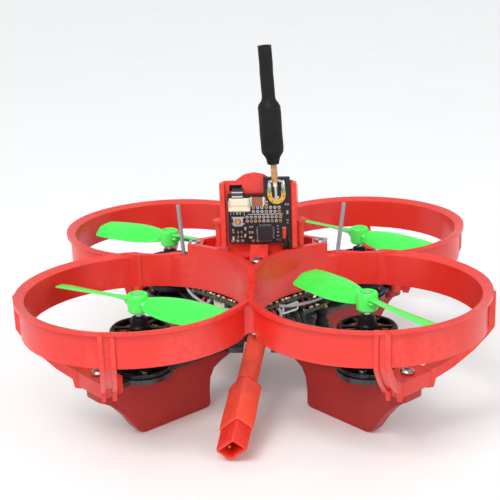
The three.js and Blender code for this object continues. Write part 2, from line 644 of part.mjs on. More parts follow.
const CAMERA_WIDTH = 12.5;
const CAMERA_HEIGHT = 8.6;
const CAMERA_REAR = 0.5;
const cameraBottom = LENS_HEIGHT - CAMERA_HEIGHT / 2;
const cameraBody = solid(
  box(-CAMERA_WIDTH / 2, CAMERA_WIDTH / 2, CAMERA_REAR, HOUSING_FRONT - 1.5, cameraBottom,
    cameraBottom + CAMERA_HEIGHT),
);
const barrel = pipe(4, 3, -HOUSING_FRONT - 4.5, -HOUSING_FRONT + 2, 28).rotateX(Math.PI / 2);
add("camera_body", cameraBody.add(solid(barrel.translate(0, 0, LENS_HEIGHT))), BLACK_METAL);
const lens = turned([[0, -1.6], [2.7, -1.6], [2.7, 0], [1.6, 0.6], [0, 0.9]], 28).rotateX(-Math.PI / 2);
add("camera_lens", lens.translate(0, HOUSING_FRONT + 3.2, LENS_HEIGHT), GLASS);

// The transmitter board closes the housing's rear, with a tall tab at the right for the aerial.
const BOARD_LEFT = -6.5;
const BOARD_RIGHT = 8.7;
const BOARD_BOTTOM = 40.3;
const BOARD_SHOULDER = 52.7;
const BOARD_TOP = 56.9;
const BOARD_NOTCH = 2.3;
const BOARD_REAR = HOUSING_REAR - GAP - BOARD_THICK;
const transmitterOutline = outline([[BOARD_LEFT, BOARD_BOTTOM], [BOARD_RIGHT, BOARD_BOTTOM],
  [BOARD_RIGHT, BOARD_TOP], [BOARD_NOTCH, BOARD_TOP], [BOARD_NOTCH, BOARD_SHOULDER],
  [BOARD_LEFT, BOARD_SHOULDER]]);
const transmitter = upright(transmitterOutline, BOARD_THICK).translate(0, BOARD_REAR + BOARD_THICK / 2, 0);

// The channel button's case stands on the board's rear, with the plunger in its well.
const CHANNEL_X = -4.1;
const CHANNEL_Z = 46.2;
const CASE_HALF = 1.2;
const switchCase = box(CHANNEL_X - CASE_HALF, CHANNEL_X + CASE_HALF, BOARD_REAR - 1, BOARD_REAR + 0.2,
  CHANNEL_Z - CASE_HALF, CHANNEL_Z + CASE_HALF);
const facingRear = (geometry, y) => geometry.rotateX(Math.PI / 2).translate(CHANNEL_X, y, CHANNEL_Z);
const switchWell = facingRear(rod(0.65, -0.1, 1.5, 12), BOARD_REAR - 0.1);
add("video_transmitter", solid(transmitter).add(solid(switchCase)).subtract(solid(switchWell)), BOARD);
add("channel_button", facingRear(rod(0.55, 0, 1.05, 12), BOARD_REAR - 0.35), STEEL);
add("camera_connector", box(-6.3, -1, BOARD_REAR - GAP - 1.3, BOARD_REAR - GAP, 48.8, 52), CREAM);

// ---- whip aerial: a bare coax stub from the board into a stepped black sleeve ----
const AERIAL = { x: 5.4, y: BOARD_REAR - 1.1, lean: 2.8 };

function leaned(geometry, bottom) {
  return geometry
    .translate(0, 0, -bottom)
    .rotateY(THREE.MathUtils.degToRad(-AERIAL.lean))
    .translate(AERIAL.x, AERIAL.y, bottom);
}

const COAX_BOTTOM = 51.5;
const SLEEVE_BOTTOM = 60.2;
const AERIAL_TOP = 88.6;
const sleeveProfile = [[0, SLEEVE_BOTTOM], [1.9, SLEEVE_BOTTOM], [2.2, SLEEVE_BOTTOM + 2.4],
  [2.75, SLEEVE_BOTTOM + 3.6], [2.75, 74], [2.4, 75], [1.75, 75.8], [1.65, 76.6], [1.65, AERIAL_TOP],
  [1.15, AERIAL_TOP], [1.15, AERIAL_TOP - 5], [0, AERIAL_TOP - 5]];
add("aerial_coax", leaned(rod(0.8, COAX_BOTTOM, SLEEVE_BOTTOM - GAP, 12), COAX_BOTTOM), COAX);
add("aerial_sleeve", leaned(turned(sleeveProfile, 16), COAX_BOTTOM), BLACK_SLEEVE);

for (const tube of RECEIVER_TUBES) {
  const stem = pipe(TUBE_RADIUS, 0.28, 0, TUBE_LENGTH, 10).rotateY(THREE.MathUtils.degToRad(tube.lean));
  add(tube.name, stem.translate(tube.x, tube.y, TUBE_BOTTOM), GREY_TUBE);
}

// ---- battery lead: a sleeved pair from the speed controller, over the plate's notch, to its plug ----
const LEAD_ROUTE = [
  [1, 4.4, 18.35],
  [0.97, 2.3, 18.4],
  [0.92, 0.2, 18.4],
  [0.85, -1.9, 18.4],
  [0.74, -4, 18.35],
  [0.58, -6.1, 18.25],
  [0.37, -8.2, 17.95],
  [0.13, -10.3, 17.45],
  [-0.12, -12.4, 16.8],
  [-0.38, -14.5, 16.05],
  [-0.64, -16.6, 15.25],
  [-0.91, -18.7, 14.4],
  [-1.18, -20.8, 13.55],
  [-1.46, -22.9, 12.7],
  [-1.72, -24.5, 12.05],
  [-1.93, -25.9, 11.49],
];

function leadTube() {
  const path = new THREE.CatmullRomCurve3(LEAD_ROUTE.map((p) => new THREE.Vector3(...p)));
  const sides = 8;
  const section = [];
  for (let i = 0; i < sides; i++) {
    const a = (2 * Math.PI * i) / sides;
    section.push([(Math.cos(a) * LEAD_DIAMETER) / 2, (Math.sin(a) * LEAD_DIAMETER) / 2]);
  }
  return new THREE.ExtrudeGeometry(outline(section), { steps: 15, bevelEnabled: false, extrudePath: path });
}

// Plug pieces are built pointing along +X and rolled 45 degrees, then aimed down and to the rear.
const GRIP_LENGTH = 14.5; // from the lead's end
const PLUG_LENGTH = 20.5;
const PLUG_WIDE = 4.6;
const PLUG_HIGH = 6.4;
const SOCKET_DEPTH = 4.6;
const GRIP_EXTRA = 0.7; // the grip's sleeve over the plug
const PIN_OFFSET = 1.25;

function plugPlaced(geometry) {
  const end = LEAD_ROUTE[LEAD_ROUTE.length - 1];
  return geometry
    .rotateX(Math.PI / 4)
    .rotateY(THREE.MathUtils.degToRad(PLUG_PITCH))
    .rotateZ(THREE.MathUtils.degToRad(-90 - PLUG_YAW))
    .translate(...end);
}

function alongX(width, height, radius, from, to) {
  return prism(roundedRect(width, height, radius), from, to, 3).rotateY(Math.PI / 2);
}

const sleeve = alongX(PLUG_WIDE + GRIP_EXTRA, PLUG_HIGH + GRIP_EXTRA, 1.2, GAP + 1.4, GRIP_LENGTH);
const collar = alongX(PLUG_WIDE, PLUG_HIGH - 1.4, 1.2, GAP, GAP + 1.6);
const socket = alongX(PLUG_WIDE - 1.5, PLUG_HIGH - 1.5, 0.5, PLUG_LENGTH - SOCKET_DEPTH, PLUG_LENGTH + 1);
const shell = alongX(PLUG_WIDE, PLUG_HIGH, 0.6, GRIP_LENGTH + GAP, PLUG_LENGTH);
add("battery_lead", leadTube(), RED);
add("plug_grip", plugPlaced(geometryOf(solid(sleeve).add(solid(collar)))), RED);
add("plug_shell", plugPlaced(geometryOf(solid(shell).subtract(solid(socket)))), RED);
["upper", "lower"].forEach((name, i) => {
  const offset = i === 0 ? PIN_OFFSET : -PIN_OFFSET;
  const pin = rod(0.5, PLUG_LENGTH - SOCKET_DEPTH + GAP, PLUG_LENGTH - 1.4, 10).rotateY(Math.PI / 2);
  add(`plug_pin_${name}`, plugPlaced(pin.translate(0, offset, 0)), STEEL);
});

export default drone;
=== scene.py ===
"""Looks for a palm-sized ducted quadcopter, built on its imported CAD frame.

The helpers take millimetres and turn them into metres at the end. +Y is the nose and -Y the tail.
"""

import random
from itertools import product
from math import atan2, cos, pi, radians, sin, sqrt

import bmesh
import bpy
from mathutils import Matrix, Vector
from mathutils.geometry import tessellate_polygon


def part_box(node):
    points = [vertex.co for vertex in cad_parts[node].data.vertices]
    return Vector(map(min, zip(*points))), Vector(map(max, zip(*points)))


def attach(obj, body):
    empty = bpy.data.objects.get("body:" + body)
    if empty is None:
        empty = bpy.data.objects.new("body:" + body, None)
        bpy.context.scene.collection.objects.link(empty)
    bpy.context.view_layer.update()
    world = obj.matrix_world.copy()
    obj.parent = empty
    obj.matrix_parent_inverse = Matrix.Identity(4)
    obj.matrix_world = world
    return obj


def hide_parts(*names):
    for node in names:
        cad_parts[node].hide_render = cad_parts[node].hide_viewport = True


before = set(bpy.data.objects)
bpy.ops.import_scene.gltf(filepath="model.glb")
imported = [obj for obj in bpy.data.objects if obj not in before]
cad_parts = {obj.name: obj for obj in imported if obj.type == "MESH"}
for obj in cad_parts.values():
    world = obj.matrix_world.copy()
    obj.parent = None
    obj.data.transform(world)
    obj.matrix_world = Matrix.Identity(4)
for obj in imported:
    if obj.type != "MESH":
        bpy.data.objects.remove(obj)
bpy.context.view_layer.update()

MM = 0.001
TURN = 2 * pi
SHARP = 34  # an edge that turns by more degrees than this stays sharp
dice = random.Random(11)

# the stack's two boards: their thickness, and the heights of their undersides and tops
BOARD = 1
SPEED_BOTTOM, SPEED_TOP = 21.2, 22.2
FLIGHT_BOTTOM, FLIGHT_TOP = 25.8, 26.8


# ---- camera, light and floor ----

def placed(name, data):
    made = bpy.data.objects.new(name, data)
    bpy.context.scene.collection.objects.link(made)
    return made


def set_camera():
    """The camera where the picture was taken from, looking from the tail, with its slight roll."""
    place = (0.0173144, -0.2552764, 0.1158994)
    azimuth, elevation, roll = (radians(a) for a in (-4.32258, 17.23161, 1.95777))
    forward = Vector((sin(azimuth) * cos(elevation), cos(azimuth) * cos(elevation), -sin(elevation)))
    level = Vector((cos(azimuth), -sin(azimuth), 0))
    down = forward.cross(level)
    right = cos(roll) * level + sin(roll) * down
    lower = cos(roll) * down - sin(roll) * level
    data = bpy.data.cameras.new("camera")
    data.lens, data.sensor_width = 76.05, 36
    data.clip_start, data.clip_end = 0.01, 20
    camera = placed("camera", data)
    turn = Matrix((right, -lower, -forward)).transposed().to_4x4()
    camera.matrix_world = Matrix.Translation(place) @ turn
    bpy.context.scene.camera = camera


def area_light(name, place, target, size, watts, colour):
    data = bpy.data.lights.new(name, "AREA")
    data.shape, data.size, data.energy, data.color = "DISK", size, watts, colour
    light = placed(name, data)
    light.location = place
    light.rotation_euler = (Vector(target) - Vector(place)).to_track_quat("-Z", "Y").to_euler()


def set_light():
    world = bpy.data.worlds.new("studio")
    bpy.context.scene.world = world
    world.use_nodes = True
    background = world.node_tree.nodes["Background"]
    background.inputs["Color"].default_value = (0.96, 0.98, 1, 1)
    background.inputs["Strength"].default_value = 0.75
    # a broad, distant key lights the whole floor evenly
    data = bpy.data.lights.new("key", "SUN")
    data.energy, data.angle, data.color = 0.95, radians(24), (1, 0.985, 0.96)
    key = placed("key", data)
    way = Vector((0.42, 0.62, -0.95))
    key.rotation_euler = way.to_track_quat("-Z", "Y").to_euler()
    middle = (0, 0, 0.03)
    area_light("fill", (0.6, -0.5, 0.4), middle, 0.5, 0.9, (0.96, 0.98, 1))
    area_light("front", (-0.1, -0.5, 0.55), middle, 0.4, 1.5, (1, 1, 1))
    bpy.context.scene.view_settings.view_transform = "Standard"


set_camera()
set_light()


# ---- materials ----

def linear(red, green, blue):
    """An sRGB colour of 0 to 255 as linear light."""
    parts = [v / 255 for v in (red, green, blue)]
    return [v / 12.92 if v <= 0.04045 else ((v + 0.055) / 1.055) ** 2.4 for v in parts]


class Nodes:
    """A material built from nodes; add gives the new node's first output."""

    def __init__(self, name):
        self.material = bpy.data.materials.new(name)
        self.material.use_nodes = True
        self.tree = self.material.node_tree
        self.shader = self.tree.nodes["Principled BSDF"]
        self.place = self.add("TexCoord").node.outputs["Object"]

    def add(self, kind, inputs=None, **settings):
        node = self.tree.nodes.new("ShaderNode" + kind)
        for key, value in settings.items():
            setattr(node, key, value)
        for key, value in (inputs or {}).items():
            if isinstance(value, bpy.types.NodeSocket):
                self.tree.links.new(value, node.inputs[key])
            else:
                node.inputs[key].default_value = value
        return node.outputs[0]

    def link(self, output, socket):
        self.tree.links.new(output, self.shader.inputs[socket])

    def set(self, **sockets):
        for key, value in sockets.items():
            self.shader.inputs[key.replace("_", " ")].default_value = value

    def noise(self, size_mm, detail=3):
        inputs = {"Vector": self.place, "Scale": 1000 / size_mm, "Detail": detail, "Roughness": 0.55}
        return self.add("TexNoise", inputs)

    def maths(self, operation, *values):
        return self.add("Math", dict(enumerate(values)), operation=operation)

    def bump(self, height, strength, depth_mm, **inputs):
        inputs |= {"Height": height, "Strength": strength, "Distance": depth_mm * MM}
        self.link(self.add("Bump", inputs), "Normal")

    def spread(self, value, low, high, start=0.3, end=0.7):
        return self.add("MapRange", {0: value, 1: start, 2: end, 3: low, 4: high})

    def ramp(self, value, stops):
        output = self.add("ValToRGB", {0: value})
        elements = output.node.color_ramp.elements
        while len(elements) < len(stops):
            elements.new(0.5)
        for element, (position, colour) in zip(elements, stops):
            element.position, element.color = position, (*colour, 1)
        return output

    def blend(self, share, a, b):
        mixed = self.add("Mix", {0: share, 6: a, 7: b}, data_type="RGBA")
        return mixed.node.outputs[2]


def finish(name, colour, rough, grain, bump, patch, vary, wear=0, worn=(255, 255, 255), metal=0, edge=0,
           depth=(), **sockets):
    """A surface with patches of shade, fine grain in its gloss and bump, and lighter worn edges.

    grain, bump, patch and edge are in millimetres; depth is a subsurface weight, radius and scale.
    """
    n = Nodes(name)
    colour = linear(*colour)
    patches = n.noise(patch)
    fine = n.noise(grain, 5)
    dark = [c * (1 - vary) for c in colour]
    light = [min(1, c * (1 + vary) + 0.01 * vary) for c in colour]
    shade = n.ramp(patches, [(0.3, dark), (0.7, light)])
    if wear:
        point = n.add("NewGeometry").node.outputs["Pointiness"]
        broken = n.maths("MULTIPLY", n.spread(point, 0, 1, 0.52, 0.6), n.spread(n.noise(1.2), 0, 1))
        shade = n.blend(n.maths("MULTIPLY", broken, wear), shade, (*linear(*worn), 1))
    n.link(shade, "Base Color")
    n.link(n.spread(fine, *rough), "Roughness")
    rounding = {"Normal": n.add("Bevel", {"Radius": edge * MM}, samples=6)} if edge else {}
    n.bump(fine, 0.6, bump, **rounding)
    n.set(Metallic=metal, **sockets)
    n.set(**dict(zip(("Subsurface_Weight", "Subsurface_Radius", "Subsurface_Scale"), depth)))
    return n.material


def carbon_weave():
    """A two-by-two twill of black tows under a satin resin; the tows that run one way are painted lighter, a
    painted sheen.
    """
    n = Nodes("carbon_twill")
    tow = 1.1
    cells = n.add("Mapping", {"Vector": n.place, "Rotation": (0, 0, pi / 4), "Scale": (1000 / tow,) * 3})
    split = n.add("SeparateXYZ", {0: cells}).node
    whole = [n.maths("FLOOR", split.outputs[i]) for i in (0, 1)]
    over = n.maths("GREATER_THAN", n.maths("FLOORED_MODULO", n.maths("SUBTRACT", *whole), 4), 1.5)
    along = n.add("Mix", {0: over, 2: split.outputs[0], 3: split.outputs[1]})
    crown = n.maths("COSINE", n.maths("MULTIPLY", along, TURN))
    # painted sheen: the tows that run one way get a lighter black than the others
    n.link(n.ramp(over, [(0.2, linear(22, 22, 25)), (0.8, linear(44, 45, 50))]), "Base Color")
    n.link(n.spread(n.noise(0.3), 0.32, 0.5), "Roughness")
    n.bump(crown, 0.35, 0.03)
    n.set(Coat_Weight=0.4)
    return n.material


def board_mask(name, colour, trace):
    """Solder mask with slightly raised, lighter copper traces under it."""
    n = Nodes(name)
    cells = n.add("TexVoronoi", {"Vector": n.place, "Scale": 1000 / 1.4, "Randomness": 0.75},
                  feature="DISTANCE_TO_EDGE", distance="EUCLIDEAN")
    tracks = n.ramp(cells, [(0.03, (1, 1, 1)), (0.07, (0, 0, 0))])
    mottled = n.ramp(n.noise(2), [(0.35, linear(*colour)), (0.65, [c * 1.5 for c in linear(*colour)])])
    n.link(n.blend(tracks, mottled, (*linear(*trace), 1)), "Base Color")
    n.link(n.spread(n.noise(0.4), 0.3, 0.48), "Roughness")
    n.bump(tracks, 0.4, 0.02)
    return n.material


def wound_wire():
    """Enamelled copper, browner where the lacquer is thick."""
    n = Nodes("enamelled_copper")
    n.link(n.ramp(n.noise(0.9, 4), [(0.3, linear(150, 76, 32)), (0.55, linear(228, 138, 66)),
                                    (0.75, linear(252, 196, 118))]), "Base Color")
    n.link(n.spread(n.noise(0.2), 0.2, 0.42), "Roughness")
    n.bump(n.noise(0.25), 0.4, 0.01)
    n.set(Metallic=0.5, Coat_Weight=0.5)
    return n.material


RED = finish("red_moulded", (226, 45, 34), (0.3, 0.42), 0.35, 0.006, 9, 0.04, 0.2, (255, 120, 104), edge=0.22,
             depth=(0.14, (1.2, 0.25, 0.12), 0.0012), Coat_Weight=0.12)
# the legs' red is a darker copy of the red moulding: painted shade for the shadow the ducts cast on the legs
LEG_RED_PAINTED_SHADE = finish("red_moulded_legs_painted_shade", (164, 24, 19), (0.38, 0.5), 0.35, 0.006, 9, 0.04, 0.15, (226, 80, 68),
                 edge=0.3, depth=(0.1, (1.2, 0.25, 0.12), 0.0012))
RED_SLEEVE = finish("red_heat_shrink", (252, 80, 58), (0.38, 0.55), 0.8, 0.05, 3, 0.12, 0.2, (245, 110, 95),
                    edge=0.2, depth=(0.1, (1, 0.2, 0.1), 0.001))
GREEN = finish("green_polycarbonate", (66, 246, 84), (0.24, 0.36), 0.3, 0.004, 5, 0.05, 0.25, (190, 255, 196),
               edge=0.12, depth=(0.2, (0.4, 1.6, 0.5), 0.001))
ANODISED = finish("black_anodised", (24, 24, 27), (0.3, 0.46), 0.15, 0.004, 2.5, 0.2, 0.7, (120, 122, 126),
                  metal=0.75)
BLACK_PLASTIC = finish("black_moulded", (22, 22, 24), (0.38, 0.55), 0.2, 0.008, 3, 0.2, 0.3, (70, 70, 74))
RUBBER = finish("black_rubber", (20, 20, 21), (0.6, 0.75), 0.25, 0.02, 2, 0.2)
SHRINK = finish("black_heat_shrink", (8, 8, 9), (0.5, 0.7), 0.9, 0.06, 4, 0.22, 0.3, (64, 64, 66),
                Specular_IOR_Level=0.3)
STEEL = finish("bright_steel", (196, 198, 202), (0.16, 0.34), 0.12, 0.003, 1.5, 0.08, metal=1)
NICKEL = finish("nickel_magnet", (176, 176, 172), (0.22, 0.4), 0.15, 0.004, 1.5, 0.1, metal=0.95)
LAMINATION = finish("steel_laminations", (92, 92, 96), (0.35, 0.5), 0.12, 0.02, 1.5, 0.15, metal=0.8)
COPPER = wound_wire()
GOLD = finish("gold_plating", (226, 176, 84), (0.18, 0.34), 0.15, 0.004, 1.2, 0.12, metal=1)
SOLDER = finish("solder", (205, 207, 208), (0.14, 0.38), 0.35, 0.03, 1.2, 0.14, metal=0.95)
MASK = board_mask("black_solder_mask", (12, 13, 16), (26, 29, 34))
GREEN_MASK = board_mask("green_black_solder_mask", (16, 30, 20), (96, 102, 62))
CHIP = finish("chip_resin", (26, 25, 30), (0.42, 0.58), 0.12, 0.006, 1.5, 0.16)
TANTALUM = finish("brown_ceramic", (150, 92, 72), (0.4, 0.55), 0.25, 0.01, 1.2, 0.12)
CERAMIC = finish("tan_ceramic", (190, 160, 118), (0.38, 0.55), 0.2, 0.008, 0.8, 0.12)
CREAM = finish("cream_nylon", (236, 226, 198), (0.42, 0.58), 0.25, 0.01, 2.5, 0.06, edge=0.1,
               depth=(0.15, (1, 0.8, 0.5), 0.0005))
COAX = finish("bare_coax_braid", (190, 148, 98), (0.35, 0.55), 0.22, 0.05, 0.8, 0.25, metal=0.25)
GREY = finish("grey_tubing", (148, 150, 155), (0.36, 0.5), 0.5, 0.012, 4, 0.1,
              depth=(0.2, (1, 1, 1), 0.0005))
WIRE_BLACK = finish("black_insulation", (20, 20, 22), (0.34, 0.5), 0.4, 0.01, 3, 0.2)
WIRE_RED = finish("red_insulation", (206, 26, 24), (0.34, 0.5), 0.4, 0.01, 3, 0.12)
WIRE_GREY = finish("grey_insulation", (168, 168, 170), (0.36, 0.52), 0.4, 0.01, 3, 0.08)
RIBBON = finish("ribbon_cable", (46, 46, 50), (0.35, 0.5), 0.3, 0.01, 2, 0.2)
WHITE_INK = finish("white_print", (222, 224, 224), (0.5, 0.65), 0.2, 0.004, 1, 0.08)
LED_RED = finish("red_capsule", (214, 62, 40), (0.25, 0.4), 0.2, 0.004, 1, 0.15)
GLASS = finish("coated_glass", (10, 12, 22), (0.03, 0.07), 0.8, 0.001, 4, 0.3, Coat_Weight=1,
               Coat_Roughness=0.02, Coat_Tint=(0.72, 0.6, 1, 1))
CARBON = carbon_weave()


# ---- shapes, in millimetres ----

def spline(points, steps=6):
    """A smooth line through the points."""
    points = [Vector(p) for p in points]
    ends = [2 * points[0] - points[1], *points, 2 * points[-1] - points[-2]]
    made = []
    for a, b, c, d in zip(ends, ends[1:], ends[2:], ends[3:]):
        for i in range(steps):
            t = i / steps
            made.append(0.5 * ((2 * b) + (c - a) * t + (2 * a - 5 * b + 4 * c - d) * t * t
                               + (3 * b - a - 3 * c + d) * t ** 3))
    return [*made, points[-1]]


def polar(radius, angle):
    return radius * cos(angle), radius * sin(angle)


def circle(radius, count):
    return [polar(radius, TURN * i / count) for i in range(count)]


def rounded(width, height, radius, steps=4):
    """A rectangle's outline with rounded corners, about the origin."""
    made = []
    for i, (sx, sy) in enumerate(((1, 1), (-1, 1), (-1, -1), (1, -1))):
        for j in range(steps + 1):
            x, y = polar(radius, pi / 2 * (i + j / steps))
            made.append((sx * (width / 2 - radius) + x, sy * (height / 2 - radius) + y))
    return made


def swung(outline, angle):
    return [(x * cos(angle) - y * sin(angle), x * sin(angle) + y * cos(angle)) for x, y in outline]


def ring_at(outline, z):
    return [(x, y, z) for x, y in outline]


def band(inner, outer, low, high):
    """The profile of a flat ring, or of a disc where inner is 0."""
    return [(inner, low), (outer, low), (outer, high), (inner, high)]


def moved(x=0, y=0, z=0, turn=0, axis="Z"):
    return Matrix.Translation((x, y, z)) @ Matrix.Rotation(radians(turn), 4, axis)


class Piece:
    """One Blender object, put together from shapes that each have their own material."""

    def __init__(self, name, place=None):
        self.name, self.place = name, place or Matrix()
        self.points, self.faces, self.kinds, self.materials = [], [], [], []

    def put(self, points, faces, material, place=None):
        if material not in self.materials:
            self.materials.append(material)
        kind = self.materials.index(material)
        start = len(self.points)
        place = self.place @ (place or Matrix())
        self.points += [place @ Vector(p) for p in points]
        self.faces += [[start + i for i in face] for face in faces]
        self.kinds += [kind] * len(faces)
        return self

    def loft(self, rings, material, place=None, closed=False):
        count = len(rings[0])
        points = [p for ring in rings for p in ring]
        faces = []
        last = len(rings) if closed else len(rings) - 1
        for i in range(last):
            a, b = i * count, (i + 1) % len(rings) * count
            faces += [(a + j, a + (j + 1) % count, b + (j + 1) % count, b + j) for j in range(count)]
        if not closed:
            faces += [tuple(range(count))[::-1], tuple(range(last * count, last * count + count))]
        return self.put(points, faces, material, place)

    def turned(self, profile, material, place=None, segments=24):
        """A profile of (radius, height) turned about Z; one that starts off the axis is a closed loop."""
        rings = [ring_at(circle(r, segments), z) for r, z in profile]
        return self.loft(rings, material, place, profile[0][0] > 0)

    def tube(self, line, radius, material, sides=8, place=None):
        """A round bar along a line of points; radius is one number or one for each point."""
        line = [Vector(p) for p in line]
        radii = radius if isinstance(radius, (list, tuple)) else [radius] * len(line)
        ahead = [(b - a).normalized() for a, b in zip([line[0], *line], [*line[1:], line[-1]])]
        side = ahead[0].orthogonal().normalized()
        rings = []
        for p, d, r in zip(line, ahead, radii):
            side = (side - d * side.dot(d)).normalized()
            other = d.cross(side)
            rings.append([p + (side * u + other * v) * r for u, v in circle(1, sides)])
        return self.loft(rings, material, place)

    def block(self, centre, size, material, chamfer=0.08, place=None):
        """A box with small flats along its edges."""
        cut = min(chamfer, *[0.45 * v for v in size])
        names = {}
        points = []
        signs = list(product((-1, 1), repeat=3))
        for sign, axis in product(signs, range(3)):
            names[sign, axis] = len(points)
            points.append([centre[k] + sign[k] * (size[k] / 2 - cut * (k != axis)) for k in range(3)])
        faces = [[names[sign, axis] for axis in range(3)] for sign in signs]
        for axis, u, v in ((0, 1, 2), (1, 0, 2), (2, 0, 1)):
            def corner(way, a, b):
                sign = {axis: way, u: a, v: b}
                return sign[0], sign[1], sign[2]

            for way in (-1, 1):
                loop = [corner(way, a, b) for a, b in ((-1, -1), (1, -1), (1, 1), (-1, 1))]
                faces.append([names[sign, axis] for sign in loop])
            for a, b in product((-1, 1), repeat=2):
                low, high = corner(-1, a, b), corner(1, a, b)
                faces.append([names[low, u], names[high, u], names[high, v], names[low, v]])
        return self.put(points, faces, material, place)

    def plate(self, outline, holes, low, high, material, place=None):
        """A flat sheet between two heights, with holes right through it."""
        loops = [outline, *holes]
        flat = [[Vector((x, y, 0)) for x, y in loop] for loop in loops]
        points = [(x, y, low) for loop in loops for x, y in loop]
        count = len(points)
        points += [(x, y, high) for x, y, _ in points]
        faces = []
        for triangle in tessellate_polygon(flat):
            faces.append(list(triangle))
            faces.append([i + count for i in reversed(triangle)])
        start = 0
        for loop in loops:
            n = len(loop)
            faces += [[start + i, start + (i + 1) % n, start + (i + 1) % n + count, start + i + count]
                      for i in range(n)]
            start += n
        return self.put(points, faces, material, place)

    def make(self, slot, node=None, body="airframe", sharp=SHARP, bevel=0):
        mesh = bpy.data.meshes.new(self.name)
        mesh.from_pydata([p * MM for p in self.points], [], self.faces)
        for material in self.materials:
            mesh.materials.append(material)
        mesh.polygons.foreach_set("material_index", self.kinds)
        return dress(self.name, mesh, node, body, sharp, bevel)


def dress(name, mesh, node, body="airframe", sharp=SHARP, bevel=0):
    """Welds and smooths a mesh, keeps its sharp edges sharp, and puts it on its body in place of its node."""
    work = bmesh.new()
    work.from_mesh(mesh)
    bmesh.ops.remove_doubles(work, verts=work.verts, dist=0.001 * MM)
    bmesh.ops.recalc_face_normals(work, faces=work.faces)
    for face in work.faces:
        face.smooth = True
    for edge in work.edges:
        edge.smooth = edge.is_manifold and edge.calc_face_angle(0) < radians(sharp)
    work.to_mesh(mesh)
    work.free()
    piece = placed(name, mesh)
    if bevel:
        cut = piece.modifiers.new("edges", "BEVEL")
        cut.width, cut.segments, cut.limit_method = bevel * MM, 2, "ANGLE"
        cut.angle_limit, cut.harden_normals = radians(sharp), True
    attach(piece, body)
    if node:
        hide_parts(node)
    return piece


def moulding(name, node, material, bevel):
    """A CAD node's own shape with smooth faces and rounded edges."""
    work = bmesh.new()
    work.from_mesh(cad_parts[node].data)
    bmesh.ops.remove_doubles(work, verts=work.verts, dist=0.002 * MM)
    bmesh.ops.dissolve_limit(work, angle_limit=radians(0.6), verts=work.verts, edges=work.edges)
    mesh = bpy.data.meshes.new(name)
    work.to_mesh(mesh)
    work.free()
    mesh.materials.clear()
    mesh.materials.append(material)
    dress(name, mesh, node, bevel=bevel)


def box(node):
    """A CAD node's low and high corners in millimetres."""
    return [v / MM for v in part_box(node)]


def middle_of(node):
    low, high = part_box(node)
    return (low + high) / 2 / MM


# ---- battery lead and its plug ----

LEAD_ROUTE = [
    (0.001, 0.0044, 0.01835), (0.00097, 0.0023, 0.0184), (0.00092, 0.0002, 0.0184),
    (0.00085, -0.0019, 0.0184), (0.00074, -0.004, 0.01835), (0.00058, -0.0061, 0.01825),
    (0.00037, -0.0082, 0.01795), (0.00013, -0.0103, 0.01745), (-0.00012, -0.0124, 0.0168),
    (-0.00038, -0.0145, 0.01605), (-0.00064, -0.0166, 0.01525), (-0.00091, -0.0187, 0.0144),
    (-0.00118, -0.0208, 0.01355), (-0.00146, -0.0229, 0.0127), (-0.00172, -0.0245, 0.01205),
    (-0.00193, -0.0259, 0.01149),
]
LEAD_DIAMETER = 5


def battery_lead():
    """A pair of wires in one shrunk sleeve, a little lumpy over the wires inside."""
    line = spline([Vector(p) / MM for p in LEAD_ROUTE], 4)
    radii = [LEAD_DIAMETER / 2 * (1 - 0.012 * (1 + sin(i * 1.9))) for i in range(len(line))]
    return Piece("lead_sleeve").tube(line, radii, RED_SLEEVE, 20).make("red_sleeve", "battery_lead")


def lead_cores():
    """The two wires where they come out of the sleeve and turn up to their pads under the board."""
    piece = Piece("lead_cores")
    for side, material in ((-1, WIRE_BLACK), (1, WIRE_RED)):
        start = Vector((1 + side * 1.1, 4.7, 18.4))
        piece.tube(spline([start, start + Vector((0, 0.9, 0.1)), start + Vector((0, 2.4, 0.9)),
                           start + Vector((0, 3.2, 2.4))]), 0.85, material, 10)
        piece.turned([(0, -0.5), (0.8, -0.45), (1.25, -0.1), (1.3, 0), (0, 0)], SOLDER,
                     moved(start.x, start.y + 3.2, SPEED_BOTTOM), 12)
    return piece.make("red_sleeve")


